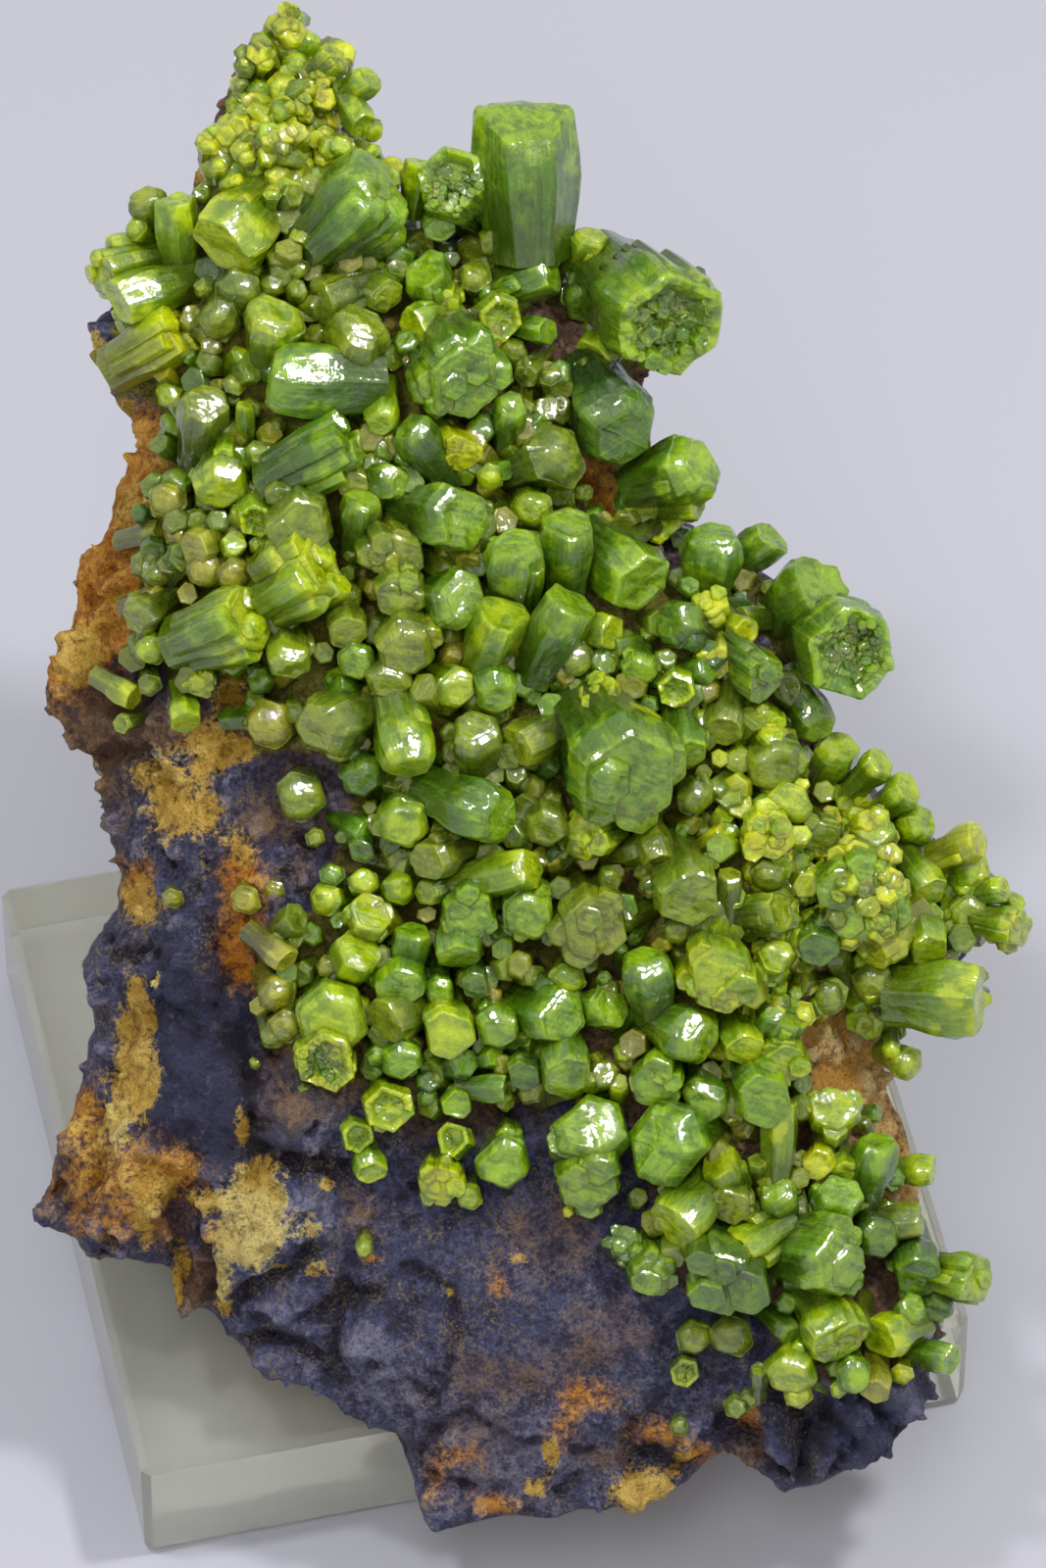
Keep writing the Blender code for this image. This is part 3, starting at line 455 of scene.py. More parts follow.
def gossan():
    """Weathered iron ore: a dull, sooty skin with a fine sparkle, and powdery stains."""
    made, tree, shader, spots = new_material("gossan")
    wide = node(tree, "TexNoise", spots, Scale=1 / (PATCH_SIZE * MM), Detail=7.0, Roughness=0.72)
    fine = node(tree, "TexNoise", spots, Scale=1 / (FLECK_SIZE * MM), Detail=4.0, Roughness=0.75)
    speck = node(tree, "TexNoise", spots, Scale=1 / (SPECK_SIZE * MM), Detail=3.0, Roughness=0.7)
    grit = node(tree, "TexVoronoi", spots, Scale=1 / (GRIT_SIZE * MM))
    relief = node(tree, "Attribute", attribute_name="relief", output=2)
    proud = node(tree, "Math", relief, 0.30, fine, operation="MULTIPLY_ADD")
    worn = node(tree, "MapRange", proud, 0.15, 0.62, **SMOOTH)
    colour = node(tree, "Mix", worn, OXIDE_DEEP, OXIDE_SKIN, data_type="RGBA")
    worn = node(tree, "MapRange", proud, 0.55, 1.0, **SMOOTH)
    colour = node(tree, "Mix", worn, colour, OXIDE_BLOOM, data_type="RGBA")
    dusted = node(tree, "Math", node(tree, "MapRange", wide, 0.50, 0.72, 0.0, 0.35, **SMOOTH),
                  node(tree, "MapRange", fine, 0.42, 0.66, **SMOOTH), operation="MULTIPLY")
    colour = node(tree, "Mix", dusted, colour, DUST, data_type="RGBA")
    flecked = node(tree, "Math", node(tree, "MapRange", wide, 0.40, 0.60, 0.10, 0.85, **SMOOTH),
                   node(tree, "MapRange", speck, 0.50, 0.60, **SMOOTH), operation="MULTIPLY")
    colour = node(tree, "Mix", flecked, colour, OCHRE_FLECK, data_type="RGBA")
    ragged = node(tree, "Math", wide, 2.4, -2.2, operation="MULTIPLY_ADD")
    ragged = node(tree, "Math", fine, 1.2, ragged, operation="MULTIPLY_ADD")
    ragged = node(tree, "Math", speck, 0.8, ragged, operation="MULTIPLY_ADD")
    bright = node(tree, "MapRange", proud, 0.2, 0.75, **SMOOTH)
    stained = 0.0
    for name, dense, loose, solid, soft in ROCK_COLOURS:
        stain = node(tree, "Attribute", attribute_name=name, output=2)
        uneven = node(tree, "MapRange", stain, 0.0, 0.8, 0.3, 0.9)
        uneven = node(tree, "Math", ragged, uneven, stain, operation="MULTIPLY_ADD")
        low, high = STAIN_EDGE - soft / 2, STAIN_EDGE + soft / 2
        mask = node(tree, "MapRange", uneven, low, high, 0.0, solid, **SMOOTH)
        shade = node(tree, "Mix", bright, dense, loose, data_type="RGBA")
        colour = node(tree, "Mix", mask, colour, shade, data_type="RGBA")
        stained = node(tree, "Math", stained, mask, operation="MAXIMUM")
    pits = node(tree, "Math", wide, 1.5, fine, operation="MULTIPLY_ADD")
    pits = node(tree, "MapRange", pits, 0.85, 1.30, 0.6, 0.0, **SMOOTH)
    colour = node(tree, "Mix", pits, colour, PIT_BROWN, data_type="RGBA")
    tree.links.new(colour, shader.inputs["Base Color"])
    powdery = node(tree, "MapRange", stained, 0.0, 1.0, 0.5, 0.92)
    tree.links.new(powdery, shader.inputs["Roughness"])
    craggy = node(tree, "Bump", 0.9, 1.6 * MM, None, wide)
    pitted = node(tree, "Bump", 0.9, 0.55 * MM, None, fine, craggy)
    gritty = node(tree, "Bump", 0.5, 0.2 * MM, None, grit, pitted)
    tree.links.new(gritty, shader.inputs["Normal"])
    return made


rock = rock_piece()
rock.data.materials.clear()
rock.data.materials.append(gossan())
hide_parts("matrix_rock")
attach(rock, "root")


# ---- The crystal crust -------------------------------------------------------------
# Pyromorphite, lead chlorophosphate, grown on the rock as a crust of stubby six-sided
# barrels. They are apple green where they are thick and yellower at their tips, with a
# greasy, glassy shine, and each is rooted in a bed of smaller crystals. The yellow at their
# thin edges and in patches is painted glow, and their darker roots are partly painted shade.

# Crystals by place: x, y, width, length seen, heading, lean from straight out, and look.
TOP_CRYSTALS = [
    (29, 2.2, 3.4, 4, 90, 60, "yellow round"), (26.8, 3.8, 2.6, 3, 120, 55, "lime round"),
    (31.2, 3.8, 3.2, 3.6, 60, 60, "lime round"), (33.8, 6.2, 3.4, 3.6, 40, 60, "lime bundle"),
    (26.3, 5.6, 3.4, 3.4, 150, 25, "yellow round"), (30, 6.2, 3, 3, 90, 20, "lime round"),
    (32, 8.8, 3.8, 3.4, 300, 20, "yellow round"), (28.8, 8.8, 3.2, 3, 250, 20, "yellow round"),
    (36.8, 8.5, 3.2, 3.8, 35, 65, "lime flat"), (36.2, 11.6, 3, 4.8, 300, 55, "lime flat"),
    (37.8, 13.2, 2.6, 3, 330, 65, "lime round"), (24.5, 8.2, 1.8, 1.8, 150, 30, "olive round"),
    (26.4, 11.6, 2.6, 2.6, 270, 30, "yellow round"), (30, 10.8, 3.4, 3, 250, 30, "lime round"),
    (31.6, 13.2, 2.4, 2.2, 300, 30, "lime round"),
    (29.2, 12.8, 2.4, 3.4, 310, 50, "olive round gleam"),
    (25, 13.8, 3.6, 3.4, 110, 25, "yellow round"), (22.5, 16.5, 4.8, 4.6, 200, 35, "olive round"),
    (25.8, 16.5, 4, 3.6, 270, 25, "lime round"), (29, 15.5, 4, 4.8, 0, 50, "olive flat"),
    (28.4, 18.2, 2.6, 2.8, 270, 20, "yellow round"), (24, 18.5, 4, 3, 260, 40, "lime round gleam"),
    (33.6, 15.6, 3.8, 4, 280, 30, "yellow bevel gleam"), (36.6, 15.2, 3, 2.8, 60, 40, "lime round"),
    (37.2, 20.8, 10, 11.8, 40, 60, "green bundle"), (32.2, 23, 3.6, 7.5, 240, 65, "olive flat"),
    (39.8, 17.2, 3.4, 4, 70, 50, "yellow round"), (42.5, 18.2, 3.2, 4.8, 80, 65, "lime flat"),
    (15, 20.8, 3.6, 4, 110, 50, "olive bevel"), (18.2, 23.2, 4.6, 7.8, 95, 62, "lime flat"),
    (14, 23.2, 2.6, 2.8, 150, 40, "lime round"), (16.4, 24.2, 2, 2.8, 270, 30, "yellow flat"),
    (12, 27.5, 5.8, 7.8, 195, 66, "lime bundle"), (14.8, 30, 5, 8, 200, 62, "lime flat gleam"),
    (16.5, 35, 6.6, 9.2, 28, 64, "yellow bundle"), (13, 32.5, 3, 4, 210, 60, "lime bundle"),
    (24.4, 23.8, 7.6, 8, 225, 52, "lime flat gleam lone"),
    (26.8, 20.5, 2.6, 2.6, 60, 40, "yellow round"), (30.3, 27.6, 2.6, 2.8, 280, 30, "olive round"),
    (21, 29.4, 2.4, 2.4, 270, 30, "olive round"), (24.6, 30, 4.4, 4.8, 280, 30, "olive round"),
    (27.8, 29.5, 2.4, 2.4, 280, 30, "olive round gleam"),
    (22.5, 32.8, 4.6, 4.8, 260, 35, "olive round"), (28, 33.5, 6, 6.4, 80, 38, "lime bevel gleam"),
    (24.6, 36.5, 2.2, 2.6, 30, 40, "lime round"), (31.5, 19.5, 2.6, 2.2, 60, 40, "olive flat"),
    (34.5, 30.5, 5, 6.2, 200, 58, "olive flat"), (38.5, 30, 4.2, 4.6, 330, 50, "olive flat"),
    (36.5, 34.5, 6.6, 7.2, 60, 42, "olive bevel gleam"),
    (40.5, 27.8, 2.4, 2.2, 60, 30, "olive flat"),
    (32, 39, 7.4, 10.6, 178, 74, "green bevel gleam lone"),
    (33, 46.7, 6.2, 10.4, 25, 70, "green bundle gleam"),
    (20.9, 42.8, 5, 7.6, 80, 45, "olive bevel gleam"), (23.4, 45.2, 2.4, 2.2, 270, 40, "lime flat"),
    (22.8, 49, 5.6, 6, 262, 42, "lime bevel gleam"), (25.1, 43.2, 2, 4.6, 90, 60, "lime bevel"),
    (26.4, 46.6, 2.6, 2.4, 60, 30, "olive flat"), (24, 39.3, 2.4, 2.4, 60, 30, "olive round"),
    (38.2, 38, 2.8, 2.6, 60, 40, "olive round"), (39.1, 42.5, 3.8, 5.4, 265, 40, "lime bevel"),
    (17.3, 40.4, 2.8, 2.8, 290, 25, "lime round gleam"),
    (44.7, 22.8, 3.4, 3.6, 280, 30, "dark flat"), (42.8, 24.4, 3, 3, 280, 25, "olive flat"),
    (50.5, 24.3, 3.4, 3.4, 280, 25, "olive flat"), (48.2, 25, 3, 3, 280, 25, "olive bevel"),
    (47, 19.3, 7.4, 7, 140, 28, "green hollow"),
    (53.4, 17.5, 10.2, 14.8, 93, 76, "green flat lone"),
    (54, 28.5, 4.8, 7.2, 18, 62, "green flat gleam"), (44, 28.8, 4.8, 6.2, 110, 40, "green flat"),
    (46.6, 29.3, 1.6, 2, 270, 30, "yellow round"), (43.2, 33.3, 4.2, 3, 200, 50, "lime flat"),
    (45, 31.2, 4.4, 4, 270, 30, "lime bundle"), (50.8, 32.5, 4.8, 4.4, 300, 20, "lime hollow"),
    (54.7, 33.8, 3, 4.2, 350, 55, "green flat"), (47.2, 38.5, 9.2, 8, 300, 32, "green bundle"),
    (48.6, 38.5, 4.6, 4.4, 300, 40, "yellow flat"), (44.6, 40, 3.4, 4.2, 270, 35, "lime flat"),
    (48.3, 28.2, 3.6, 3.6, 90, 30, "olive round"), (60, 24.8, 3.8, 3.6, 60, 50, "lime bevel"),
    (59.8, 30, 5.2, 7, 270, 40, "dark bevel"), (66.5, 31.5, 11.8, 9.2, 318, 36, "green hollow"),
    (61.2, 35.6, 4.2, 4.4, 225, 50, "lime flat"), (62.5, 42.8, 8.8, 8.4, 300, 48, "dark bevel"),
    (56.2, 38.6, 2.6, 3.4, 90, 40, "olive round gleam"),
    (43, 45.8, 4.4, 7.2, 125, 52, "dark bevel gleam"),
    (46.9, 46, 4.4, 4.4, 300, 40, "yellow bundle"),
    (39.6, 49.3, 3.8, 5, 350, 58, "green bevel gleam"),
    (36.9, 52.7, 3.8, 5.4, 80, 52, "green flat"), (36.1, 49, 3.4, 3.4, 270, 30, "olive flat"),
    (26.2, 52.7, 4, 5, 290, 35, "lime hollow"), (30.7, 53.4, 7, 5.6, 270, 25, "olive flat"),
    (26.5, 55.8, 2, 2, 300, 20, "lime round gleam"), (51.9, 42.8, 3.6, 5.6, 80, 45, "green bevel"),
    (54.8, 43.5, 2.8, 3.4, 330, 45, "green flat"), (50, 49, 3, 3.2, 280, 25, "lime round"),
    (45.8, 52.8, 6.6, 5, 350, 45, "green flat gleam"), (44.8, 50.5, 2.2, 2.4, 90, 30, "olive flat"),
    (56.5, 46.8, 6.6, 4.6, 20, 40, "olive round"), (54.3, 52, 4, 3.8, 280, 25, "lime round"),
    (47.2, 56.9, 1.2, 1.2, 270, 20, "lime round"),
]

MIDDLE_CRYSTALS = [
    (31.7, 58.8, 8, 9.2, 28, 55, "lime bundle"),
    (23.8, 63.8, 7.8, 10.6, 18, 55, "lime bundle gleam"), (35.4, 64, 4.4, 4, 280, 35, "olive flat"),
    (36.3, 67.6, 3.8, 3.6, 285, 22, "green bevel"),
    (29.6, 66.8, 4.4, 6.6, 275, 35, "olive bevel gleam"),
    (35.5, 61, 3.2, 4, 290, 40, "olive bevel"),
    (39.9, 69.2, 4.6, 4.8, 270, 25, "olive bevel gleam"),
    (17.2, 51.1, 3.8, 4, 110, 30, "honey round"),
    (18.1, 54.5, 2.6, 2.6, 270, 25, "honey round gleam"),
    (20.6, 55.9, 3.6, 3.4, 200, 40, "honey flat"), (24, 55.9, 2.6, 2.6, 60, 30, "lime flat"),
    (16.2, 58.7, 3, 3.6, 270, 30, "olive round"), (21.1, 58.4, 3.6, 3.2, 270, 25, "honey round"),
    (24, 58.7, 3.6, 3.4, 270, 25, "honey round"), (14.7, 62.9, 4.2, 4.4, 215, 45, "olive bevel"),
    (15.5, 66.3, 3.4, 3.4, 250, 35, "lime round"), (12.5, 70.6, 3.2, 4.2, 330, 60, "yellow flat"),
    (15.3, 69.9, 2.4, 2.6, 270, 30, "olive round"), (12.7, 73.8, 2, 1.8, 200, 40, "olive flat"),
    (19, 72.8, 3.6, 3.8, 280, 45, "lime flat"), (20.6, 69.6, 3.4, 3.4, 280, 35, "lime bundle"),
    (26.2, 68.5, 1.6, 1.6, 270, 20, "olive round"),
    (27.6, 74, 4.8, 4.6, 200, 25, "honey round gleam"),
    (33.8, 73.8, 6.8, 6, 200, 40, "olive bevel"), (40.3, 56.5, 6, 4.8, 300, 30, "olive bundle"),
    (40.7, 60.3, 5.6, 3.6, 270, 30, "olive bundle"), (41.5, 65.5, 6.2, 7.2, 268, 38, "olive bevel"),
    (46.5, 61.2, 5.8, 5.4, 350, 35, "green bevel gleam"),
    (52.4, 57.8, 5.6, 8.4, 85, 42, "green bevel"), (57.8, 56.2, 5.4, 8.2, 88, 55, "green flat"),
    (64.1, 58.3, 7, 7.4, 318, 50, "green flat"), (66.8, 52.3, 5.8, 5.8, 250, 18, "lime hollow"),
    (69.5, 47.8, 7, 6, 15, 58, "green bevel"), (70.3, 51.6, 3.2, 3, 0, 50, "lime flat"),
    (63.6, 51.2, 2.4, 2.6, 200, 40, "dark round gleam"),
    (72.5, 56.6, 6, 7.8, 80, 55, "green bevel gleam"), (77.4, 56, 4.4, 6, 35, 66, "green flat"),
    (82.3, 60.6, 7.4, 6.6, 35, 42, "green flat"), (85.6, 66, 9.2, 7, 320, 24, "green hollow"),
    (82.6, 72.6, 4.4, 6.6, 300, 60, "green bevel"), (56.8, 64, 5.6, 8.8, 62, 58, "green flat"),
    (61.3, 64.5, 3.8, 4.2, 350, 55, "lime flat"), (50.6, 64.8, 5.6, 7.8, 68, 55, "lime flat"),
    (50.4, 70, 4.6, 6, 285, 48, "green bevel"), (46.5, 70.1, 4.2, 4.4, 320, 30, "lime bevel gleam"),
    (72.5, 62.1, 4.2, 3.8, 90, 30, "yellow bundle"), (75.5, 64.2, 3.2, 3.8, 330, 40, "yellow flat"),
    (72.8, 67.4, 3.8, 4.6, 270, 35, "yellow bundle"), (69.4, 63.8, 5, 6, 160, 45, "dark bevel"),
    (77, 68.5, 5.2, 7.8, 320, 50, "green bundle gleam"),
    (65.1, 68.3, 3.8, 4.2, 270, 25, "green bevel"),
    (68.9, 70, 4, 4.4, 270, 20, "lime hollow gleam"), (61.1, 71, 4.6, 4.4, 120, 40, "lime bundle"),
    (64.7, 74.1, 4.8, 4.8, 330, 45, "yellow flat"),
    (63.2, 78.2, 11.8, 10, 300, 40, "green bundle lone"),
    (69.7, 75.8, 4.4, 5.8, 280, 50, "green flat"), (73.7, 73.5, 4.2, 5, 260, 50, "olive flat"),
    (78, 73.7, 4, 3.6, 300, 30, "lime bundle"), (79, 77.6, 6.2, 5.2, 280, 30, "olive bevel"),
    (48.5, 75.7, 5.2, 7, 95, 45, "olive bevel gleam"), (54.1, 75.6, 5, 4.4, 205, 58, "olive flat"),
    (41.3, 75.9, 6, 8.6, 285, 58, "lime bevel gleam"), (48.7, 82.6, 7, 9.2, 338, 58, "green bevel"),
    (55.9, 83.8, 4.8, 4.8, 270, 30, "olive bevel"), (60.1, 85, 5, 5.2, 200, 35, "lime bundle"),
    (66.8, 86.2, 3.6, 5.6, 290, 62, "olive flat"),
    (70.9, 81.3, 3.8, 3.6, 300, 30, "olive round gleam"),
    (70, 90.5, 6.6, 6.6, 290, 35, "olive flat"), (74.3, 91, 2.4, 5, 90, 65, "olive flat gleam"),
    (58.6, 67.4, 3.6, 3, 300, 30, "olive round gleam"), (85.1, 77.2, 4.4, 4, 60, 55, "lime flat"),
    (89.1, 78.4, 3.4, 3.4, 45, 60, "lime flat gleam"), (91.9, 81, 3.6, 3.8, 40, 55, "lime flat"),
    (87.2, 82.2, 3.6, 4, 300, 25, "lime bundle"), (93.5, 84.2, 4.4, 4, 20, 45, "lime bevel"),
    (98.6, 86.4, 4.2, 3, 25, 65, "yellow flat"), (99, 89, 4.6, 4.2, 20, 45, "lime bevel"),
    (102, 90.8, 3, 2.8, 10, 60, "lime bundle gleam"),
    (103.1, 94.5, 4.6, 4.6, 350, 60, "lime bundle"), (99, 93.2, 4.2, 4.8, 300, 30, "olive bevel"),
    (83.5, 85.2, 4.4, 3.8, 300, 25, "olive bundle gleam"),
    (78.1, 85.2, 5.6, 5.4, 300, 20, "yellow bundle"), (74.1, 85, 2.2, 2.2, 270, 20, "lime round"),
    (80.2, 82, 4.6, 3.6, 60, 30, "lime bevel"), (88.7, 85.6, 5, 3.6, 60, 30, "lime bevel"),
    (86.8, 87.8, 3.4, 2.8, 300, 20, "olive round gleam"),
    (88, 91.5, 9.2, 7.4, 270, 25, "green bundle"), (94.1, 89.9, 4, 5.4, 305, 55, "lime flat"),
    (90.3, 95.5, 5, 6.6, 215, 58, "yellow flat"), (94.4, 95.5, 4.2, 6, 280, 45, "lime flat"),
    (93.8, 99.3, 4.2, 4.2, 300, 35, "lime bevel"), (96.7, 102, 7.2, 8.8, 357, 70, "lime flat"),
    (83.2, 96.1, 4.4, 4.6, 270, 30, "dark flat"), (78.3, 89.3, 3.6, 4, 270, 30, "olive round"),
    (78.3, 93, 4.4, 5.4, 5, 50, "olive flat"), (89, 100.2, 4.6, 4, 260, 30, "olive round"),
    (84.5, 101.8, 3.4, 3.2, 250, 30, "olive round"),
    (90.9, 105, 3.4, 3.4, 270, 35, "olive bundle gleam"),
    (92.5, 108.6, 3.6, 3.4, 330, 40, "lime round"), (91.1, 107.2, 2.2, 2.2, 270, 30, "lime round"),
]

LOWER_CRYSTALS = [
    (73.5, 99, 8.2, 7.8, 280, 25, "lime bundle gleam"), (79, 97.7, 3.6, 4.2, 60, 40, "lime bevel"),
    (66, 99.7, 5.6, 8, 100, 50, "green bevel gleam"), (68.9, 94.8, 3, 2.8, 270, 20, "olive round"),
    (70.2, 105.3, 6.2, 7, 335, 45, "green bevel gleam"),
    (75.4, 105.8, 4, 5.4, 290, 45, "lime flat"), (79.6, 104, 5, 3.6, 60, 45, "green bundle gleam"),
    (79.9, 107.8, 5.4, 5.2, 280, 30, "lime bundle"),
    (66.8, 109.9, 5.6, 5.2, 250, 25, "green bundle"),
    (71.6, 111.8, 4.6, 5.6, 275, 35, "green bevel gleam"),
    (77.5, 111.2, 6, 5.6, 300, 30, "green flat"), (63.1, 110.9, 2.2, 3, 90, 40, "lime flat"),
    (63.6, 107.2, 2.2, 2, 270, 30, "lime round"), (68.1, 116.3, 7.8, 6.4, 200, 30, "green bevel"),
    (79.5, 115.7, 3.6, 7.8, 88, 74, "lime flat"), (85, 113.5, 6, 5.2, 80, 25, "lime bundle"),
    (83.5, 118.2, 3.4, 3.8, 250, 30, "yellow flat"), (86, 119, 2.8, 3.2, 280, 35, "lime flat"),
    (89, 118.6, 4.6, 7, 75, 60, "green bevel"), (73.7, 119.2, 4.2, 4.8, 120, 45, "lime flat"),
    (74.3, 122.4, 4.6, 4.4, 280, 30, "olive bundle"),
    (69.8, 123.6, 6, 6.4, 228, 52, "lime flat gleam"), (77.2, 118.8, 2, 2.8, 90, 40, "olive flat"),
    (76.5, 126.8, 5.2, 6.2, 210, 58, "lime flat"), (73.5, 129.6, 8.6, 6, 270, 30, "dark bundle"),
    (79.4, 122.2, 4.2, 4.4, 120, 40, "green bevel gleam"),
    (85.1, 122.4, 4.6, 3.4, 60, 40, "green flat"),
    (84.2, 128, 8.2, 7.2, 352, 45, "green bundle gleam"),
    (89.5, 126, 4.6, 4.6, 300, 30, "dark bevel"), (92, 124.7, 3.8, 5.2, 8, 72, "olive flat"),
    (94, 119.6, 3.8, 2, 0, 75, "lime flat"), (93.5, 129.2, 5.4, 5.6, 280, 35, "dark flat"),
    (98.6, 130.6, 5.8, 6.2, 350, 60, "lime bundle"), (95.6, 133.1, 3.6, 3.4, 270, 30, "dark bevel"),
    (92.8, 133.8, 3.4, 3.6, 60, 40, "green bevel"), (90.8, 136.2, 4.6, 5, 200, 45, "lime flat"),
    (95.8, 138.7, 3.4, 4.4, 350, 60, "green flat"), (85, 135.4, 6.8, 7, 300, 50, "lime bundle"),
    (80.8, 139.4, 5, 4.8, 250, 30, "lime bevel"), (77.5, 140.5, 1.8, 3.4, 90, 40, "olive flat"),
    (81.3, 142.1, 2.8, 2.6, 270, 20, "yellow round gleam"),
    (87, 140.2, 3.8, 3.8, 290, 30, "green round gleam"),
    (85.5, 141.6, 1.8, 1.6, 270, 20, "lime round"), (92, 140.2, 2.2, 2.2, 270, 20, "yellow round"),
    (44.7, 87.4, 4.4, 4.4, 200, 50, "olive flat"), (51, 89, 4.4, 8.6, 12, 60, "lime flat gleam"),
    (44.3, 90.8, 3, 3.6, 200, 50, "olive flat"), (47.8, 92.8, 6, 5.6, 270, 25, "green bundle"),
    (54, 92.8, 5.4, 5.4, 300, 30, "green bevel"), (46.6, 96.3, 4.8, 4, 270, 50, "green flat"),
    (42, 96.5, 3.8, 5.6, 82, 55, "green flat"), (60, 94, 7.6, 8.4, 290, 25, "olive bundle"),
    (57.9, 99.7, 3.6, 3.4, 270, 25, "lime round"), (61.3, 102.8, 4.2, 4.6, 0, 45, "green flat"),
    (56.2, 103.5, 6, 5.6, 350, 40, "green flat gleam"),
    (57.6, 108.2, 5.8, 4.8, 280, 45, "green flat"),
    (60.1, 110.2, 2.4, 2.4, 300, 45, "lime flat gleam"),
    (50.9, 104.4, 4.6, 4.8, 290, 30, "green bevel gleam"),
    (45.7, 104.6, 5.4, 5.2, 280, 30, "lime flat"), (48.5, 100, 3.2, 3.8, 270, 30, "dark flat"),
    (44.9, 100.8, 3.2, 3.6, 270, 35, "green bevel"), (40.8, 99.8, 5.2, 4.4, 270, 30, "green flat"),
    (40.6, 103.6, 5, 4.6, 200, 45, "olive flat"), (34.2, 103.4, 6.8, 6.6, 275, 22, "lime bevel"),
    (33.5, 107.4, 6.2, 4.2, 270, 20, "lime hollow"), (36.3, 97.7, 4.8, 5.2, 60, 35, "lime flat"),
    (33.7, 98.5, 2.4, 3.4, 200, 40, "honey round"), (37.7, 93.4, 5.2, 5.2, 60, 25, "lime bundle"),
    (33.3, 91.7, 3.4, 3.4, 180, 30, "lime round"), (37.2, 90, 3.2, 3.2, 90, 30, "lime round"),
    (40.8, 90.5, 3.4, 3.4, 30, 30, "lime round"), (34, 89.2, 2.4, 2.2, 90, 30, "green round"),
    (37, 86.4, 2.8, 3.2, 270, 30, "dark flat"), (41.2, 83.6, 5.4, 5.6, 275, 25, "lime bevel"),
    (37.1, 79, 4.4, 4.2, 270, 30, "dark bevel"), (41, 107.8, 4.2, 4.2, 280, 30, "green bevel"),
    (38.4, 107.8, 2.4, 2.6, 270, 30, "green round"), (46.9, 108.4, 3.2, 3.6, 20, 45, "dark flat"),
    (50, 107.8, 2.6, 2.6, 20, 45, "green flat"), (53.4, 109, 3.6, 4, 270, 35, "dark flat"),
    (50.2, 111, 3.4, 4, 0, 72, "green flat"), (46.6, 112.2, 3.2, 3.2, 280, 20, "green flat"),
    (43.7, 111.9, 2, 2.2, 270, 20, "dark round"), (28.3, 97, 3, 4.6, 322, 60, "honey flat"),
    (28.2, 101.4, 3.8, 4.2, 300, 35, "honey round gleam"),
    (29.1, 104.6, 3.6, 3.4, 270, 25, "honey round"), (39.6, 112.5, 5, 5, 290, 18, "lime hollow"),
]

# Body and tip colours of each look.
TONES = {
    "yellow": ("8A9A04", "CED60C"),
    "lime": ("6C8E04", "B6C806"),
    "green": ("4A7208", "90B408"),
    "olive": ("566C0C", "94A41A"),
    "dark": ("325412", "6C920C"),
    "honey": ("6E7410", "A8A626"),
    "frosted": ("4C6A1C", "84A030"),
}

# How a crystal ends: distance back from the tip in widths, section, painted edge glow and
# roundness.
ENDS = {
    "flat": [(0.16, 1.0, 0.2, 0.0), (0.05, 0.98, 0.5, 0.0), (0.0, 0.92, 0.65, 0.0),
             (0.0, 0.80, 0.6, 0.0), (0.03, 0.70, 0.55, 0.0), (0.04, 0.4, 0.5, 0.2)],
    "bevel": [(0.22, 1.0, 0.2, 0.0), (0.13, 0.96, 0.4, 0.0), (0.03, 0.80, 0.5, 0.0),
              (0.0, 0.70, 0.6, 0.1), (0.0, 0.56, 0.55, 0.2), (0.02, 0.3, 0.5, 0.3)],
    "round": [(0.36, 0.99, 0.0, 0.3), (0.24, 0.93, 0.1, 0.5), (0.13, 0.8, 0.3, 0.7),
              (0.05, 0.6, 0.5, 0.9), (0.01, 0.34, 0.7, 1.0)],
    "hollow": [(0.12, 1.0, 0.3, 0.0), (0.03, 1.0, 0.7, 0.0), (0.0, 0.94, 0.9, 0.0),
               (0.0, 0.8, 0.8, 0.0), (0.05, 0.68, 0.4, 0.1), (0.12, 0.58, 0.1, 0.2),
               (0.15, 0.42, 0.0, 0.3), (0.16, 0.2, 0.0, 0.3)],
}
# How far the middle of each end lies below the tip, in widths.
END_FLOOR = {"flat": 0.035, "bevel": 0.025, "round": 0.0, "hollow": 0.15}

# A barrel's radius for its width, then its foot and its end as shares of its middle.
SECTION = 0.565
FOOT_SECTION = 0.82
TIP_SECTION = 0.93
# How far the foot of a crust crystal stands over the rock.
SEAT = 1.6

# Some crystals carry a small worn facet that sends the lamp's light to the eye: where the two
# are, how much of a crystal's reach the facet leaves, and how many crystals have one.
KEY_LAMP = (230, 330, 420)
LAMP_PLACE = FACE_CENTRE + ACROSS * KEY_LAMP[0] + UP * KEY_LAMP[1] + OUT * KEY_LAMP[2]
EYE_DISTANCE = 1000.0
EYE_PLACE = FACE_CENTRE + OUT * EYE_DISTANCE
GLEAM_CUT = 0.84
GLINT_CUT = 0.94
GLINT_SHARE = 0.35


def hexagon(fractions, chance, uneven):
    """A six-sided outline of about radius 1 with uneven sides, as points along every side."""
    normals = [Vector((math.cos(math.radians(60 * k + 30)), math.sin(math.radians(60 * k + 30))))
               for k in range(6)]
    aways = [math.cos(math.radians(30)) * (1 + chance.uniform(-uneven, uneven)) for _ in range(6)]
    corners = []
    for k in range(6):
        (a, b), (c, d) = normals[k - 1], normals[k]
        p, q = aways[k - 1], aways[k]
        corners.append(Vector((p * d - q * b, q * a - p * c)) / (a * d - b * c))
    corners.append(corners[0])
    return [corners[k].lerp(corners[k + 1], f) for k in range(6) for f in fractions]


def squared(side, axis):
    """A side direction turned square to an axis."""
    return (side - axis * side.dot(axis)).normalized()


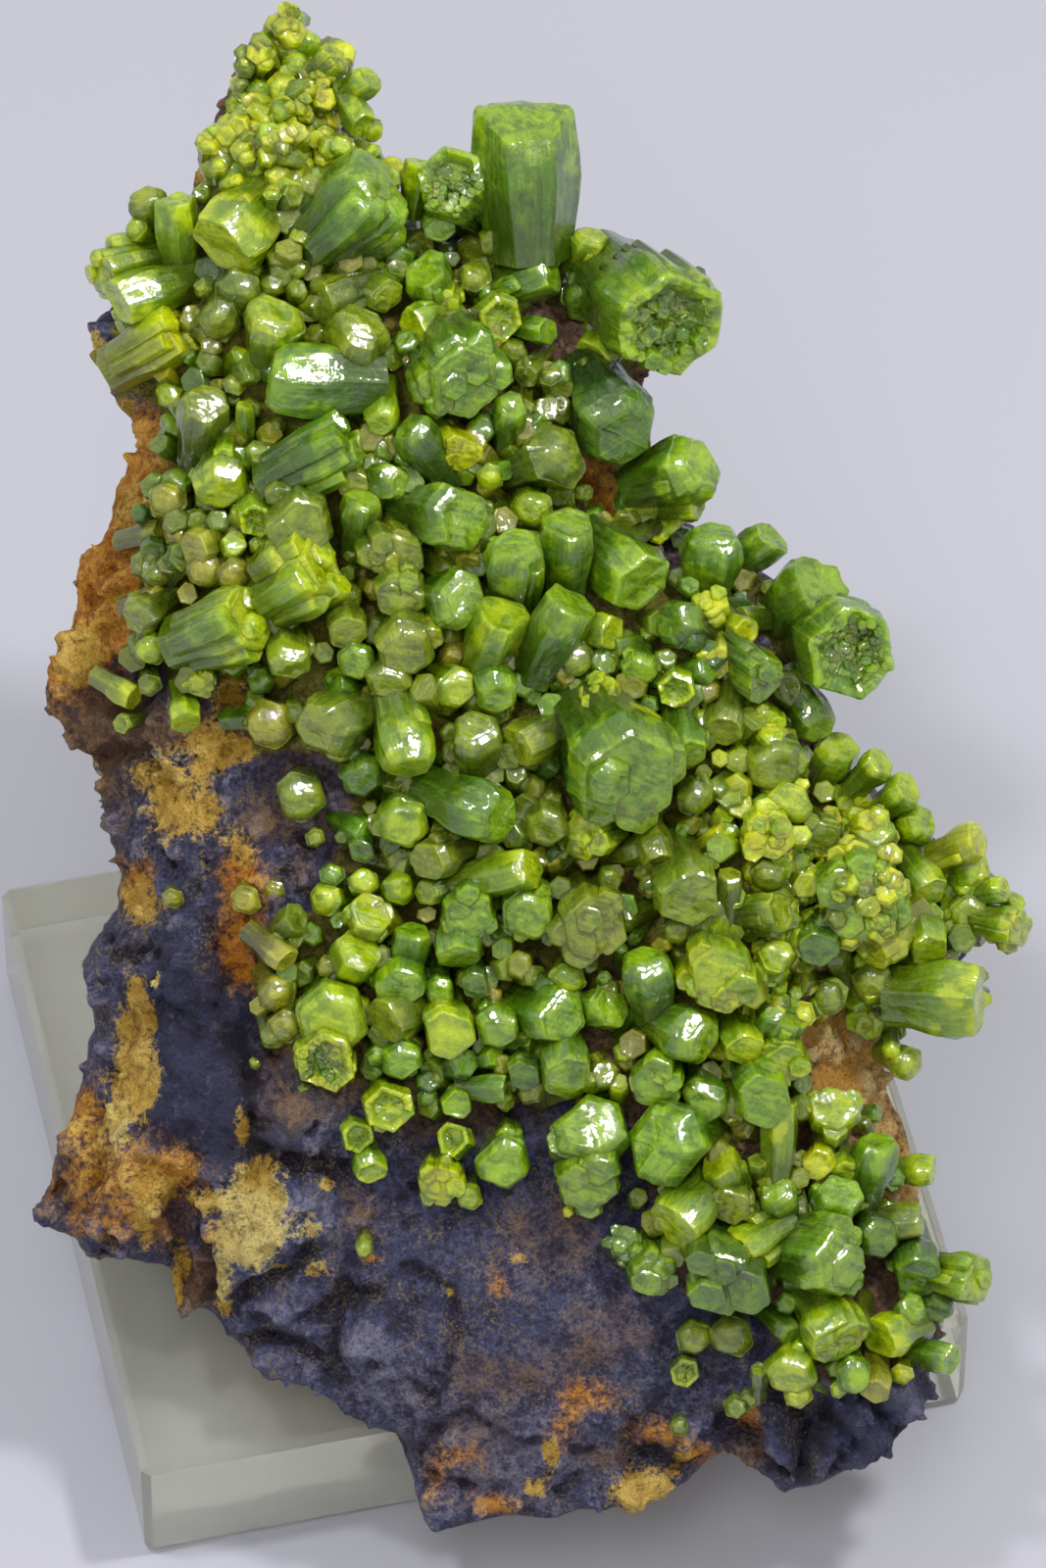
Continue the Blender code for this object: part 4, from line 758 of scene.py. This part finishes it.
# Where the points lie along each side of a small, a middling and a large crystal, and the
# widths that divide them.
SMALL_SIDE = (0.08, 0.92)
SIDE = (0.10, 0.36, 0.64, 0.90)
FINE_SIDE = (0.05, 0.15, 0.28, 0.42, 0.58, 0.72, 0.85, 0.95)
MIDDLING = 2.6
LARGE = 6.2


class Cluster:
    """Crystals gathered into one mesh, with what their finish needs at each point."""

    def __init__(self, seed):
        self.points, self.faces = [], []
        self.body, self.tip, self.growth, self.rim, self.fibre = [], [], [], [], []
        self.chance = random.Random(seed)

    def ring(self, spots, body, tip, growth, rim, fibres, last):
        """Adds a ring of points and joins it to the last one."""
        first = len(self.points)
        count = len(spots)
        self.points += spots
        self.body += [body] * count
        self.tip += [tip] * count
        self.growth += [growth] * count
        self.rim += [rim] * count
        self.fibre += fibres
        if last is not None:
            for i in range(count):
                j = (i + 1) % count
                self.faces.append((last + i, last + j, first + j, first + i))
        return first

    def crystal(self, foot, axis, side, width, length, root, tone, end, fractions=None,
                glint=False):
        """One six-sided crystal in millimetres, from its root to its end."""
        chance = self.chance
        if fractions is None and (width > LARGE or end == "hollow"):
            fractions = FINE_SIDE
        elif fractions is None:
            fractions = SIDE if width > MIDDLING else SMALL_SIDE
        outline = hexagon(fractions, chance, 0.13)
        other = axis.cross(side)
        body, tip = tone
        seed = chance.uniform(0, 500)
        phase = Vector((seed, seed * 0.37, 0))
        tilts = [chance.uniform(-0.02, 0.02) for _ in range(6)]
        dish = chance.uniform(-0.8, 1.0) if end in ("flat", "bevel") else 1.0
        swing = (chance.uniform(-0.09, 0.09), chance.uniform(-0.09, 0.09))
        radius = width * SECTION
        profile = [(-root, 0.78, 0.0, 0.0), (0.0, FOOT_SECTION, 0.0, 0.0),
                   (0.25 * length, 0.93, 0.0, 0.0)]
        if fractions is not SMALL_SIDE:
            profile.append((0.42 * length, 0.985, 0.0, 0.0))
        profile.append((0.60 * length, 1.0, 0.0, 0.0))
        below = profile[-1][0]
        for step, (back, section, rim, roundness) in enumerate(ENDS[end]):
            height = length - back * width * (dish if step > 3 else 1.0)
            if rim < 0.95 and height < below + 0.02 and section > 0.9:
                height = below + 0.02
            below = height
            profile.append((height, section * TIP_SECTION, rim, roundness))
        last = None
        count = len(outline)
        for step, (height, section, rim, roundness) in enumerate(profile):
            spots, fibres = [], []
            on_cap = len(profile) - step < 4
            for i, flat in enumerate(outline):
                ridge = 1 + 0.05 * noise.noise(Vector((flat.x * 6, flat.y * 6, 0)) + phase)
                wave = Vector((flat.x * 1.8, flat.y * 1.8, height / width * 2.5))
                ridge += 0.04 * noise.noise(wave + phase)
                spread = section * radius * ridge
                if roundness:
                    spread *= 1 + roundness * (0.93 / flat.length - 1)
                lift = 0.0
                if rim > 0.2 or height > length - 0.3 * width:
                    slant = tilts[i * 6 // count] * rim + swing[0] * flat.x + swing[1] * flat.y
                    lift = width * slant
                    if end == "hollow":
                        ripple = Vector((flat.x * 4, flat.y * 4, section * 4))
                        lift += width * 0.075 * noise.noise(ripple + phase)
                    elif end == "flat" and count > 12:
                        ripple = Vector((flat.x, flat.y, 0)) * section * 2.4
                        lift += width * 0.05 * noise.noise(ripple + phase)
                height_here = height + min(lift, 0.05 * width)
                spot = foot + (side * flat.x + other * flat.y) * spread + axis * height_here
                spots.append(spot)
                if on_cap:
                    fibres.append((flat.x * spread, flat.y * spread * 8, seed + 40))
                else:
                    fibres.append((math.atan2(flat.y, flat.x) * radius, height, seed))
            growth = min(max((height + 0.3 * root) / (length + 0.3 * root), 0), 1)
            last = self.ring(spots, body, tip, growth, rim, fibres, last)
        start = len(self.points) - count * len(profile)
        self.faces.append(tuple(range(start + count - 1, start - 1, -1)))
        middle = foot + axis * (length - END_FLOOR[end] * width * dish)
        centre = len(self.points)
        # The middle of each end takes a little painted glow; a hollow end takes none.
        painted_end_glow = 0.0 if end == "hollow" else 0.4
        self.ring([middle], body, tip, 1.0, painted_end_glow, [(0, 0, seed + 40)], None)
        self.faces += [(last + i, last + (i + 1) % count, centre) for i in range(count)]
        if glint or (width > 2.4 and chance.random() < GLINT_SHARE):
            above_root = range(start + count, centre + 1)
            heart = foot + axis * (0.6 * length)
            to_lamp = (LAMP_PLACE - heart).normalized()
            to_eye = (EYE_PLACE - heart).normalized()
            bright = (to_lamp + to_eye).normalized()
            reach = max((self.points[i] - heart).dot(bright) for i in above_root)
            for i in above_root:
                cut = reach * (GLEAM_CUT if glint else GLINT_CUT)
                proud = (self.points[i] - heart).dot(bright) - cut
                if proud > 0:
                    self.points[i] = self.points[i] - bright * proud

    def tuft(self, foot, axis, side, width, length, root, tone, splay, glint):
        """A bundle of near-parallel crystals, grown together from one root."""
        chance = self.chance
        other = axis.cross(side)
        self.crystal(foot, axis, side, width * 0.88, length * 0.84, root, tone, "flat")
        places = []
        for _ in range(60):
            u, v = chance.uniform(-1, 1), chance.uniform(-1, 1)
            small = chance.uniform(0.34, 0.62)
            if math.hypot(u, v) * 0.5 + small * 0.45 > 0.55:
                continue
            if all(math.hypot(u - a, v - b) > 0.55 * (small + near) for a, b, near in places):
                places.append((u, v, small))
        for k, (u, v, share) in enumerate(places):
            outward = (side * u + other * v) * 0.5
            lean = (axis + outward * (2 * splay) + side * chance.uniform(-0.04, 0.04)
                    + other * chance.uniform(-0.04, 0.04)).normalized()
            small = share * width
            reach = length - width * (0.16 * math.hypot(u, v) ** 2 + chance.uniform(0.0, 0.16))
            self.crystal(foot + outward * width, lean, squared(side, lean), small, reach,
                         root * 0.5, vary(tone, chance, 0.12),
                         chance.choice(("flat", "flat", "bevel")),
                         SIDE if small > 2.2 else SMALL_SIDE, glint and k == 0)

    def druzy_hollow(self, foot, axis, side, width, length, tone):
        """The rim and floor of a hollow end, built of many small parallel crystals."""
        chance = self.chance
        other = axis.cross(side)
        for k in range(20):
            turn = math.radians(18 * k + chance.uniform(-6, 6))
            away = width * SECTION * (0.70 + 0.05 * math.cos(6 * turn)) * chance.uniform(0.95, 1.03)
            small = width * chance.uniform(0.10, 0.18)
            reach = length + width * chance.uniform(-0.07, 0.02)
            outward = side * math.cos(turn) + other * math.sin(turn)
            self.crystal(foot + outward * away, axis, side, small, reach, -0.6 * length,
                         vary(tone, chance, 0.15), "flat", SMALL_SIDE)
        dull = [linear(c) for c in TONES["frosted"]]
        for _ in range(60):
            turn = chance.uniform(0, 2 * math.pi)
            away = width * 0.37 * math.sqrt(chance.random())
            small = width * chance.uniform(0.07, 0.17)
            lean = (axis + side * chance.uniform(-0.5, 0.5)
                    + other * chance.uniform(-0.5, 0.5)).normalized()
            sunk = 0.13 - 0.5 * (away / width) ** 2 + chance.uniform(-0.02, 0.05)
            outward = side * math.cos(turn) + other * math.sin(turn)
            tip = foot + outward * away + axis * (length - width * sunk)
            self.crystal(tip - lean * small, lean, squared(side, lean), small, small, small,
                         vary(dull, chance, 0.25), chance.choice(("flat", "bevel")), SMALL_SIDE)

    def companions(self, foot, axis, side, width, length, tone, count):
        """Smaller crystals that grew against the flanks of a large one."""
        chance = self.chance
        other = axis.cross(side)
        for _ in range(count):
            turn = math.radians(60 * chance.randrange(6) + chance.uniform(15, 45))
            outward = side * math.cos(turn) + other * math.sin(turn)
            small = width * chance.uniform(0.28, 0.46)
            lean = (axis + outward * chance.uniform(0.0, 0.12)).normalized()
            reach = length * chance.uniform(0.35, 0.75)
            self.crystal(foot + outward * width * 0.40, lean, squared(side, lean), small, reach,
                         1.5, vary(tone, chance, 0.2), chance.choice(("flat", "bevel")), SIDE)

    def piece(self, name, finish):
        """The cluster as an object that carries its finish."""
        mesh = bpy.data.meshes.new(name)
        low, high = cad_box
        corners = [[min(max(c * MM, a), b) for c, a, b in zip(p, low, high)] for p in self.points]
        mesh.from_pydata(corners, [], self.faces)
        for colour, values in (("body", self.body), ("tip", self.tip)):
            layer = mesh.attributes.new(colour, "FLOAT_COLOR", "POINT")
            layer.data.foreach_set("color", np.array(values, dtype=np.float32).ravel())
        for strength, values in (("growth", self.growth), ("rim", self.rim)):
            layer = mesh.attributes.new(strength, "FLOAT", "POINT")
            layer.data.foreach_set("value", np.array(values, dtype=np.float32))
        layer = mesh.attributes.new("fibre", "FLOAT_VECTOR", "POINT")
        layer.data.foreach_set("vector", np.array(self.fibre, dtype=np.float32).ravel())
        mesh.materials.append(finish)
        mesh.shade_smooth()
        mesh.set_sharp_from_angle(angle=math.radians(24))
        made = bpy.data.objects.new(name, mesh)
        bpy.context.collection.objects.link(made)
        return made


def vary(tone, chance, amount):
    """A tone with its brightness and its yellowness shifted a little."""
    light = 1 + chance.uniform(-amount, amount)
    warm = 1 + chance.uniform(-amount, amount) * 0.6
    return tuple([c[0] * light * warm, c[1] * light, c[2] * light, 1.0] for c in tone)


def surface(x, y, tree, above=60.0):
    """The height of a solid's surface over the face at a place, or None past its edge."""
    start = on_face(x, y, above)
    hit = tree.ray_cast(start, -OUT, (above + 70) * MM)[0]
    return None if hit is None else above - (start - hit).length / MM


def ground(x, y):
    """The rock's height at a place, or at the nearest rock past its edge."""
    height = surface(x, y, ROCK_TREE)
    if height is None:
        nearest = ROCK_TREE.find_nearest(on_face(x, y, 0))[0]
        height = (nearest / MM - FACE_CENTRE).dot(OUT)
    return height


def plant(cluster, crystals, seat):
    """Grows every crystal of a table on the rock."""
    for x, y, width, seen, heading, lean, look in crystals:
        colour, end, *habit = look.split()
        glint = "gleam" in habit
        tone = vary([linear(c) for c in TONES[colour]], cluster.chance, 0.10)
        heading, lean = math.radians(heading), math.radians(lean)
        across, up = math.cos(heading), math.sin(heading)
        axis = OUT * math.cos(lean) + (ACROSS * across + UP * up) * math.sin(lean)
        length = (seen - width * math.cos(lean)) / max(math.sin(lean), 0.05)
        length = min(max(length, 0.75 * width), 2.3 * width)
        foot_x = x - length / 2 * math.sin(lean) * across
        foot_y = y + length / 2 * math.sin(lean) * up
        lift = 0.3 * width * math.sin(lean)
        height = ground(foot_x, foot_y) + seat + lift
        foot = on_face(foot_x, foot_y, height) / MM
        side = axis.cross(UP + 0.3 * ACROSS).normalized()
        root = 1.5 + (lift + 0.3 * width) * math.cos(lean)
        if end == "bundle":
            cluster.tuft(foot, axis, side, width, length, root, tone, 0.10, glint)
        else:
            cluster.crystal(foot, axis, side, width, length, root, tone, end, None, glint)
        if end == "hollow" and width > 6:
            cluster.druzy_hollow(foot, axis, side, width, length, tone)
        if width > 3.6 and end != "round" and "lone" not in habit:
            count = cluster.chance.choice((0, 1, 2))
            cluster.companions(foot, axis, side, width, length, tone, count)


# Sizes of the finish: colour zones, frosted specks, chips in the shine and patches of painted glow.
ZONE_SIZE = 1.8
FROST_SIZE = 0.45
CHIP_SIZE = 0.9
PAINTED_GLOW_SIZE = 3.2
# Cells in each millimetre round and along a crystal: growth lines, plates and slivers.
GROWTH_LINES = (2.2, 0.25, 1.0)
PLATES = (0.55, 0.3, 1.0)
SLIVERS = (1.3, 0.4, 1.0)
# How far the slivers tilt the body and its shiny skin, and how much darker the roots are:
# their own deeper colour together with painted shade where the crystals crowd.
BODY_TILT = (0.30, 0.30, 0.30)
SKIN_TILT = (0.11, 0.11, 0.11)
ROOT_SHADE = (0.50, 0.48, 0.50)
FROST = "C0C88C"
# The mineral's own index, about 2, goes to its wet-looking skin, over a waxier body.
BODY_IOR = 1.45
SKIN_IOR = 1.95
SKIN_SHARE = 0.7
SKIN_ROUGHNESS = 0.05
# Light that enters spreads this deep in millimetres, green the furthest and blue the least.
GLOW_SHARE = 0.6
GLOW_DEPTH = 1.6
GLOW_REACH = (0.85, 1.0, 0.3)


def pyromorphite():
    """Waxy, glassy and a little cloudy: light enters the thin edges and tips and glows, and painted
    glow in the colour adds to it on the rims of the ends and in patches.
    """
    made, tree, shader, spots = new_material("pyromorphite")
    body = node(tree, "Attribute", attribute_name="body")
    tip = node(tree, "Attribute", attribute_name="tip")
    growth = node(tree, "Attribute", attribute_name="growth", output=2)
    rim = node(tree, "Attribute", attribute_name="rim", output=2)
    fibre = node(tree, "Attribute", attribute_name="fibre", output=1)
    cloud = node(tree, "TexNoise", spots, Scale=1 / (ZONE_SIZE * MM), Detail=3.5, Roughness=0.55)
    frost = node(tree, "TexNoise", spots, Scale=1 / (FROST_SIZE * MM), Detail=4.0, Roughness=0.7)
    chip = node(tree, "TexVoronoi", spots, Scale=1 / (CHIP_SIZE * MM), Detail=1.0)
    along = node(tree, "VectorMath", fibre, GROWTH_LINES, operation="MULTIPLY")
    streak = node(tree, "TexNoise", along, Scale=1.0, Detail=4.0, Roughness=0.62)
    along = node(tree, "VectorMath", fibre, PLATES, operation="MULTIPLY")
    plates = node(tree, "TexVoronoi", along, distance="CHEBYCHEV", Scale=1.0, output=1)
    plates = node(tree, "SeparateColor", plates)
    height = node(tree, "Math", streak, 0.9, growth, operation="MULTIPLY_ADD")
    height = node(tree, "Math", cloud, 0.9, height, operation="MULTIPLY_ADD")
    height = node(tree, "Math", plates, 0.5, height, operation="MULTIPLY_ADD")
    # Painted shade with the crystals' own deeper colour: low down towards the roots, where the
    # crystals crowd, the body colour darkens.
    deeper_shaded_root = node(tree, "VectorMath", body, ROOT_SHADE, operation="MULTIPLY")
    ripe = node(tree, "MapRange", height, 1.15, 1.90, **SMOOTH)
    colour = node(tree, "Mix", ripe, deeper_shaded_root, body, data_type="RGBA")
    # Painted glow: the rims of the ends take the tip colour in patches, as if lit through their
    # thin edges. Towards the tips, the tip colour is also the crystals' own yellower growth.
    patchy = node(tree, "MapRange", cloud, 0.38, 0.62, 0.1, 1.2, **SMOOTH)
    painted_glow = node(tree, "Math", rim, patchy, operation="MULTIPLY")
    young = node(tree, "MapRange", height, 1.87, 2.50, 0.0, 0.85, **SMOOTH)
    painted_glow = node(tree, "Math", painted_glow, young, operation="MAXIMUM")
    colour = node(tree, "Mix", painted_glow, colour, tip, data_type="RGBA")
    streaky = node(tree, "MapRange", streak, 0.54, 0.74, 0.0, 0.22, **SMOOTH)
    colour = node(tree, "Mix", streaky, colour, tip, data_type="RGBA")
    # Painted glow: soft patches towards the tips take the tip colour, as if light shone through
    # them.
    painted_glow_patch = node(tree, "TexNoise", spots, Scale=1 / (PAINTED_GLOW_SIZE * MM), Detail=3.0, Roughness=0.55)
    painted_glow_patch = node(tree, "MapRange", painted_glow_patch, 0.52, 0.66, 0.0, 0.7, **SMOOTH)
    upper = node(tree, "MapRange", growth, 0.1, 0.6)
    painted_glow_patch = node(tree, "Math", painted_glow_patch, upper, operation="MULTIPLY")
    colour = node(tree, "Mix", painted_glow_patch, colour, tip, data_type="RGBA")
    frosty = node(tree, "MapRange", frost, 0.60, 0.82, 0.0, 0.16, **SMOOTH)
    colour = node(tree, "Mix", frosty, colour, FROST, data_type="RGBA")
    tree.links.new(colour, shader.inputs["Base Color"])
    dull = node(tree, "MapRange", frost, 0.35, 0.75, 0.25, 0.45, **SMOOTH)
    tree.links.new(dull, shader.inputs["Roughness"])
    along = node(tree, "VectorMath", fibre, SLIVERS, operation="MULTIPLY")
    sliver = node(tree, "TexVoronoi", along, Scale=1.0, output=1)
    sliver = node(tree, "VectorMath", sliver, (0.5, 0.5, 0.5), operation="SUBTRACT")
    outward = node(tree, "NewGeometry", output=1)
    leaning = node(tree, "VectorMath", sliver, BODY_TILT, outward, operation="MULTIPLY_ADD")
    leaning = node(tree, "VectorMath", leaning, operation="NORMALIZE")
    lumpy = node(tree, "Bump", 0.5, 0.6 * MM, None, cloud, leaning)
    ridged = node(tree, "Bump", 0.4, 0.3 * MM, None, streak, lumpy)
    stepped = node(tree, "Bump", 0.5, 0.2 * MM, None, plates, ridged)
    pitted = node(tree, "Bump", 0.35, 0.12 * MM, None, frost, stepped)
    tree.links.new(pitted, shader.inputs["Normal"])
    glancing = node(tree, "VectorMath", sliver, SKIN_TILT, outward, operation="MULTIPLY_ADD")
    glancing = node(tree, "VectorMath", glancing, operation="NORMALIZE")
    wet = node(tree, "Bump", 0.2, 0.12 * MM, None, streak, glancing)
    chipped = node(tree, "MapRange", cloud, 0.45, 0.6, 0.0, 0.4)
    wet = node(tree, "Bump", chipped, 0.18 * MM, None, chip, wet)
    wet = node(tree, "Bump", 0.12, 0.08 * MM, None, frost, wet)
    tree.links.new(wet, shader.inputs["Coat Normal"])
    shader.inputs["IOR"].default_value = BODY_IOR
    shader.inputs["Coat Weight"].default_value = SKIN_SHARE
    shader.inputs["Coat Roughness"].default_value = SKIN_ROUGHNESS
    shader.inputs["Coat IOR"].default_value = SKIN_IOR
    shader.inputs["Subsurface Weight"].default_value = GLOW_SHARE
    shader.inputs["Subsurface Radius"].default_value = GLOW_REACH
    shader.inputs["Subsurface Scale"].default_value = GLOW_DEPTH * MM
    return made


GREEN_GLASS = pyromorphite()


def finish_piece(cluster, name, solid):
    """Makes a cluster of crystals the piece that stands for a solid."""
    made = cluster.piece(name, GREEN_GLASS)
    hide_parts(solid)
    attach(made, "root")


def crust_piece(name, crystals, seed):
    """One stretch of the crust, from its table."""
    cluster = Cluster(seed)
    plant(cluster, crystals, SEAT)
    finish_piece(cluster, name, "crystal_crust")


crust_piece("top_crystals", TOP_CRYSTALS, 1)
crust_piece("middle_crystals", MIDDLE_CRYSTALS, 2)
crust_piece("lower_crystals", LOWER_CRYSTALS, 3)


# ---- The fine druse ----------------------------------------------------------------
# The thin spire at the top and the spur at the right are coated all round with lumpy
# yellow-green crystals, too fine and too close to tell apart, grown on the crust.


def any_side(axis, chance):
    """A random direction square to an axis."""
    aside = Vector((chance.uniform(-1, 1), chance.uniform(-1, 1), 0.5))
    return axis.cross(aside).normalized()


def fine_druse(name, left, right, top, bottom, count, sunk, seed):
    """Fine, lumpy yellow crystals that cover a thin end of the specimen."""
    cluster = Cluster(seed)
    chance = cluster.chance
    for _ in range(count):
        x, y = chance.uniform(left, right), chance.uniform(top, bottom)
        crust = surface(x, y, CRUST_TREE)
        if crust is None or (y > bottom - 5 and chance.random() > 0.5):
            continue
        width = chance.uniform(1.2, 2.8)
        axis = OUT + ACROSS * chance.uniform(-0.7, 0.7) + UP * chance.uniform(-0.5, 0.9)
        axis = axis.normalized()
        side = any_side(axis, chance)
        colour = chance.choice(("yellow", "lime", "yellow", "olive"))
        tone = vary([linear(c) for c in TONES[colour]], chance, 0.15)
        foot = on_face(x, y, crust - sunk - width * 0.5) / MM
        cluster.crystal(foot, axis, side, width, width * 0.8, 1.0, tone,
                        chance.choice(("round", "bevel", "flat")), SMALL_SIDE)
    finish_piece(cluster, name, "crystal_crust")


fine_druse("spire_druse", 19, 39, 0.5, 21, 330, 0.0, 13)
fine_druse("spur_druse", 77, 105, 75, 104, 420, 1.2, 14)


# ---- The bed of small crystals -----------------------------------------------------
# Between the large crystals the rock is sown with small ones of the same growth, 1.5 to
# 3.3 mm across, which lean every way, with gaps where the bare rock shows.

BED_STEP = 1.85
BED_REACH = 5.5
BED_TONES = (("olive", 8), ("honey", 3), ("green", 3), ("dark", 1))


def bed_share(x, y):
    """How much of the bed grew at a place: less down the left, where bare rock shows."""
    bare = math.exp(-(((x - 30) / 14) ** 2 + ((y - 82) / 24) ** 2))
    low = min(max((y - 95) / 20, 0), 1)
    return 1 - 0.65 * bare - 0.35 * low


def bed(name, top, bottom, seed):
    """The bed between two heights of the face, in rows a step apart."""
    cluster = Cluster(seed)
    chance = cluster.chance
    names = [tone for tone, share in BED_TONES for _ in range(share)]
    y = top
    while y < bottom:
        x = 8.0
        while x < 107:
            here_x = x + chance.uniform(-0.6, 0.6) * BED_STEP
            here_y = y + chance.uniform(-0.6, 0.6) * BED_STEP
            x += BED_STEP
            gap = noise.noise(Vector((here_x / 4, here_y / 4, 5))) < -0.18 and here_y > 20
            if chance.random() > bed_share(here_x, here_y) or gap:
                continue
            crust = surface(here_x, here_y, CRUST_TREE)
            rock_height = surface(here_x, here_y, ROCK_TREE)
            if crust is None or rock_height is None:
                continue
            if not rock_height <= crust <= rock_height + BED_REACH:
                continue
            width = chance.uniform(1.5, 3.3)
            lean = math.radians(chance.uniform(0, 55))
            heading = chance.uniform(0, 2 * math.pi)
            sideways = ACROSS * math.cos(heading) + UP * math.sin(heading)
            axis = OUT * math.cos(lean) + sideways * math.sin(lean)
            side = any_side(axis, chance)
            colour = chance.choice(names)
            if here_y < 20 or (here_x > 70 and 72 < here_y < 108):
                colour = chance.choice(("yellow", "lime", "lime", "olive"))
            tone = vary([linear(c) for c in TONES[colour]], chance, 0.2)
            tone = tone[0], [(a + b) / 2 for a, b in zip(*tone)]
            foot = on_face(here_x, here_y, rock_height + chance.uniform(0.5, 1.6)) / MM
            cluster.crystal(foot, axis, side, width, width * chance.uniform(0.7, 1.1), 3.0, tone,
                            chance.choice(("flat", "bevel")), SMALL_SIDE)
        y += BED_STEP
    finish_piece(cluster, name, "crystal_crust")


bed("upper_bed", 2, 72, 11)
bed("lower_bed", 72.1, 146, 12)


# ---- The separate crystal groups ---------------------------------------------------
# Single crystals and small clusters that grew apart from the crust, straight on the
# bare rock, each held by its own root.

LOOSE_SEAT = 0.2
LOOSE_GROUPS = {
    "single_barrel": [
        (30.8, 81.2, 5.2, 4.8, 260, 20, "olive round gleam"),
        (32.3, 85.5, 2, 2, 270, 20, "olive round"), (38.1, 82, 1, 1, 270, 20, "olive round"),
        (25.2, 91.7, 3, 3, 270, 20, "honey round"), (28, 90.8, 2, 2, 270, 20, "honey round"),
        (17.6, 91.6, 2.2, 2.2, 270, 20, "honey round"),
    ],
    "left_pair": [
        (36.5, 115.5, 3.6, 3.6, 300, 20, "lime hollow"),
        (37.6, 118.6, 3.4, 2.8, 290, 55, "lime flat gleam"),
        (37.2, 127, 2, 3, 270, 25, "olive round"), (31.1, 111, 1.5, 1.5, 270, 20, "olive round"),
        (26.1, 108.4, 1.2, 1.2, 270, 20, "olive round"),
    ],
    "lower_group": [
        (46.5, 116.2, 3.6, 3.6, 150, 20, "lime hollow"),
        (51.5, 118.2, 5.6, 6.6, 265, 25, "green bevel"), (45, 120.2, 5, 5, 260, 25, "lime bundle"),
        (47.8, 121.9, 2.8, 2.4, 270, 25, "lime round"),
    ],
    "double_cluster": [
        (60.1, 115.6, 7.2, 5.2, 90, 22, "green bevel gleam"),
        (60.1, 119.8, 7.4, 5, 275, 30, "green bundle"),
        (58, 123.5, 1.2, 1.2, 270, 20, "yellow round"),
    ],
    "beaded_pair": [
        (63.8, 126.8, 3.8, 4.6, 120, 25, "dark bundle"),
        (66.2, 129.5, 5.2, 5.6, 290, 35, "green bundle gleam"),
        (64.9, 122.2, 2, 2, 60, 20, "olive flat"),
    ],
    "honey_group": [
        (70.8, 136.4, 3.4, 3.4, 280, 20, "olive round gleam"),
        (74.6, 136.1, 4.6, 4.6, 260, 20, "olive round"),
        (69.8, 139.9, 3, 2.8, 270, 15, "olive hollow"),
        (69.3, 145.6, 2, 1.6, 270, 20, "olive round"),
        (75.2, 143.6, 2.6, 2.2, 270, 20, "olive round"),
        (76.4, 142.8, 2, 2, 270, 20, "olive round"),
    ],
}

for seed, (name, crystals) in enumerate(LOOSE_GROUPS.items()):
    cluster = Cluster(30 + seed)
    plant(cluster, crystals, LOOSE_SEAT)
    finish_piece(cluster, name + "_crystals", name)


# ---- The shelf, the light and the viewpoint ----------------------------------------
# A plain pale shelf, one small soft lamp above and to the right of the face, a second
# to the left, a broad fill from the front, and an eye that looks straight at the face.

SHELF = "B9BBC8"
SHELF_GAP = 0.3
SHELF_REACH = 1.6
ROOM = "E6E3DE"
ROOM_LIGHT = 0.78
EYE_LENS = 225.0


def shelf():
    """A board in matt paint, pale and plain, which only takes the soft shadows."""
    mesh = bpy.data.meshes.new("shelf")
    reach = SHELF_REACH
    level = -SHELF_GAP * MM
    mesh.from_pydata([(-reach, -reach, level), (reach, -reach, level), (reach, reach, level),
                      (-reach, reach, level)], [], [(0, 1, 2, 3)])
    made, _, shader, _ = new_material("painted_shelf")
    shader.inputs["Base Color"].default_value = linear(SHELF)
    shader.inputs["Roughness"].default_value = 0.85
    mesh.materials.append(made)
    floor = bpy.data.objects.new("shelf", mesh)
    bpy.context.collection.objects.link(floor)


def lamp(name, across, up, out, size, power, colour, mirrored=True):
    """A square soft lamp that shines at the middle of the face, and may show in gloss."""
    light = bpy.data.lights.new(name, "AREA")
    light.shape = "SQUARE"
    light.size = size * MM
    light.energy = power
    light.color = linear(colour)[:3]
    holder = bpy.data.objects.new(name, light)
    centre = FACE_CENTRE * MM
    holder.location = centre + (ACROSS * across + UP * up + OUT * out) * MM
    holder.rotation_euler = (centre - holder.location).to_track_quat("-Z", "Y").to_euler()
    holder.visible_glossy = mirrored
    bpy.context.collection.objects.link(holder)


def eye():
    """The viewpoint: straight out from the middle of the crystal face, and level with it."""
    camera = bpy.data.cameras.new("eye")
    camera.lens = EYE_LENS
    camera.sensor_width = 36.0
    camera.clip_end = 20.0
    holder = bpy.data.objects.new("eye", camera)
    turn = Matrix((ACROSS, UP, OUT)).transposed().to_4x4()
    holder.matrix_world = Matrix.Translation(EYE_PLACE * MM) @ turn
    bpy.context.collection.objects.link(holder)
    bpy.context.scene.camera = holder


shelf()
lamp("key", *KEY_LAMP, 54, 1.6, "FFFEFA")
lamp("second_lamp", -170, 300, 430, 50, 0.85, "FFFFFF")
lamp("fill", -90, 90, 800, 280, 1.3, "FFFFFF", False)
room = bpy.data.worlds.new("room")
room.use_nodes = True
room.node_tree.nodes["Background"].inputs["Color"].default_value = linear(ROOM)
room.node_tree.nodes["Background"].inputs["Strength"].default_value = ROOM_LIGHT
bpy.context.scene.world = room
bpy.context.scene.view_settings.view_transform = "Standard"
eye()
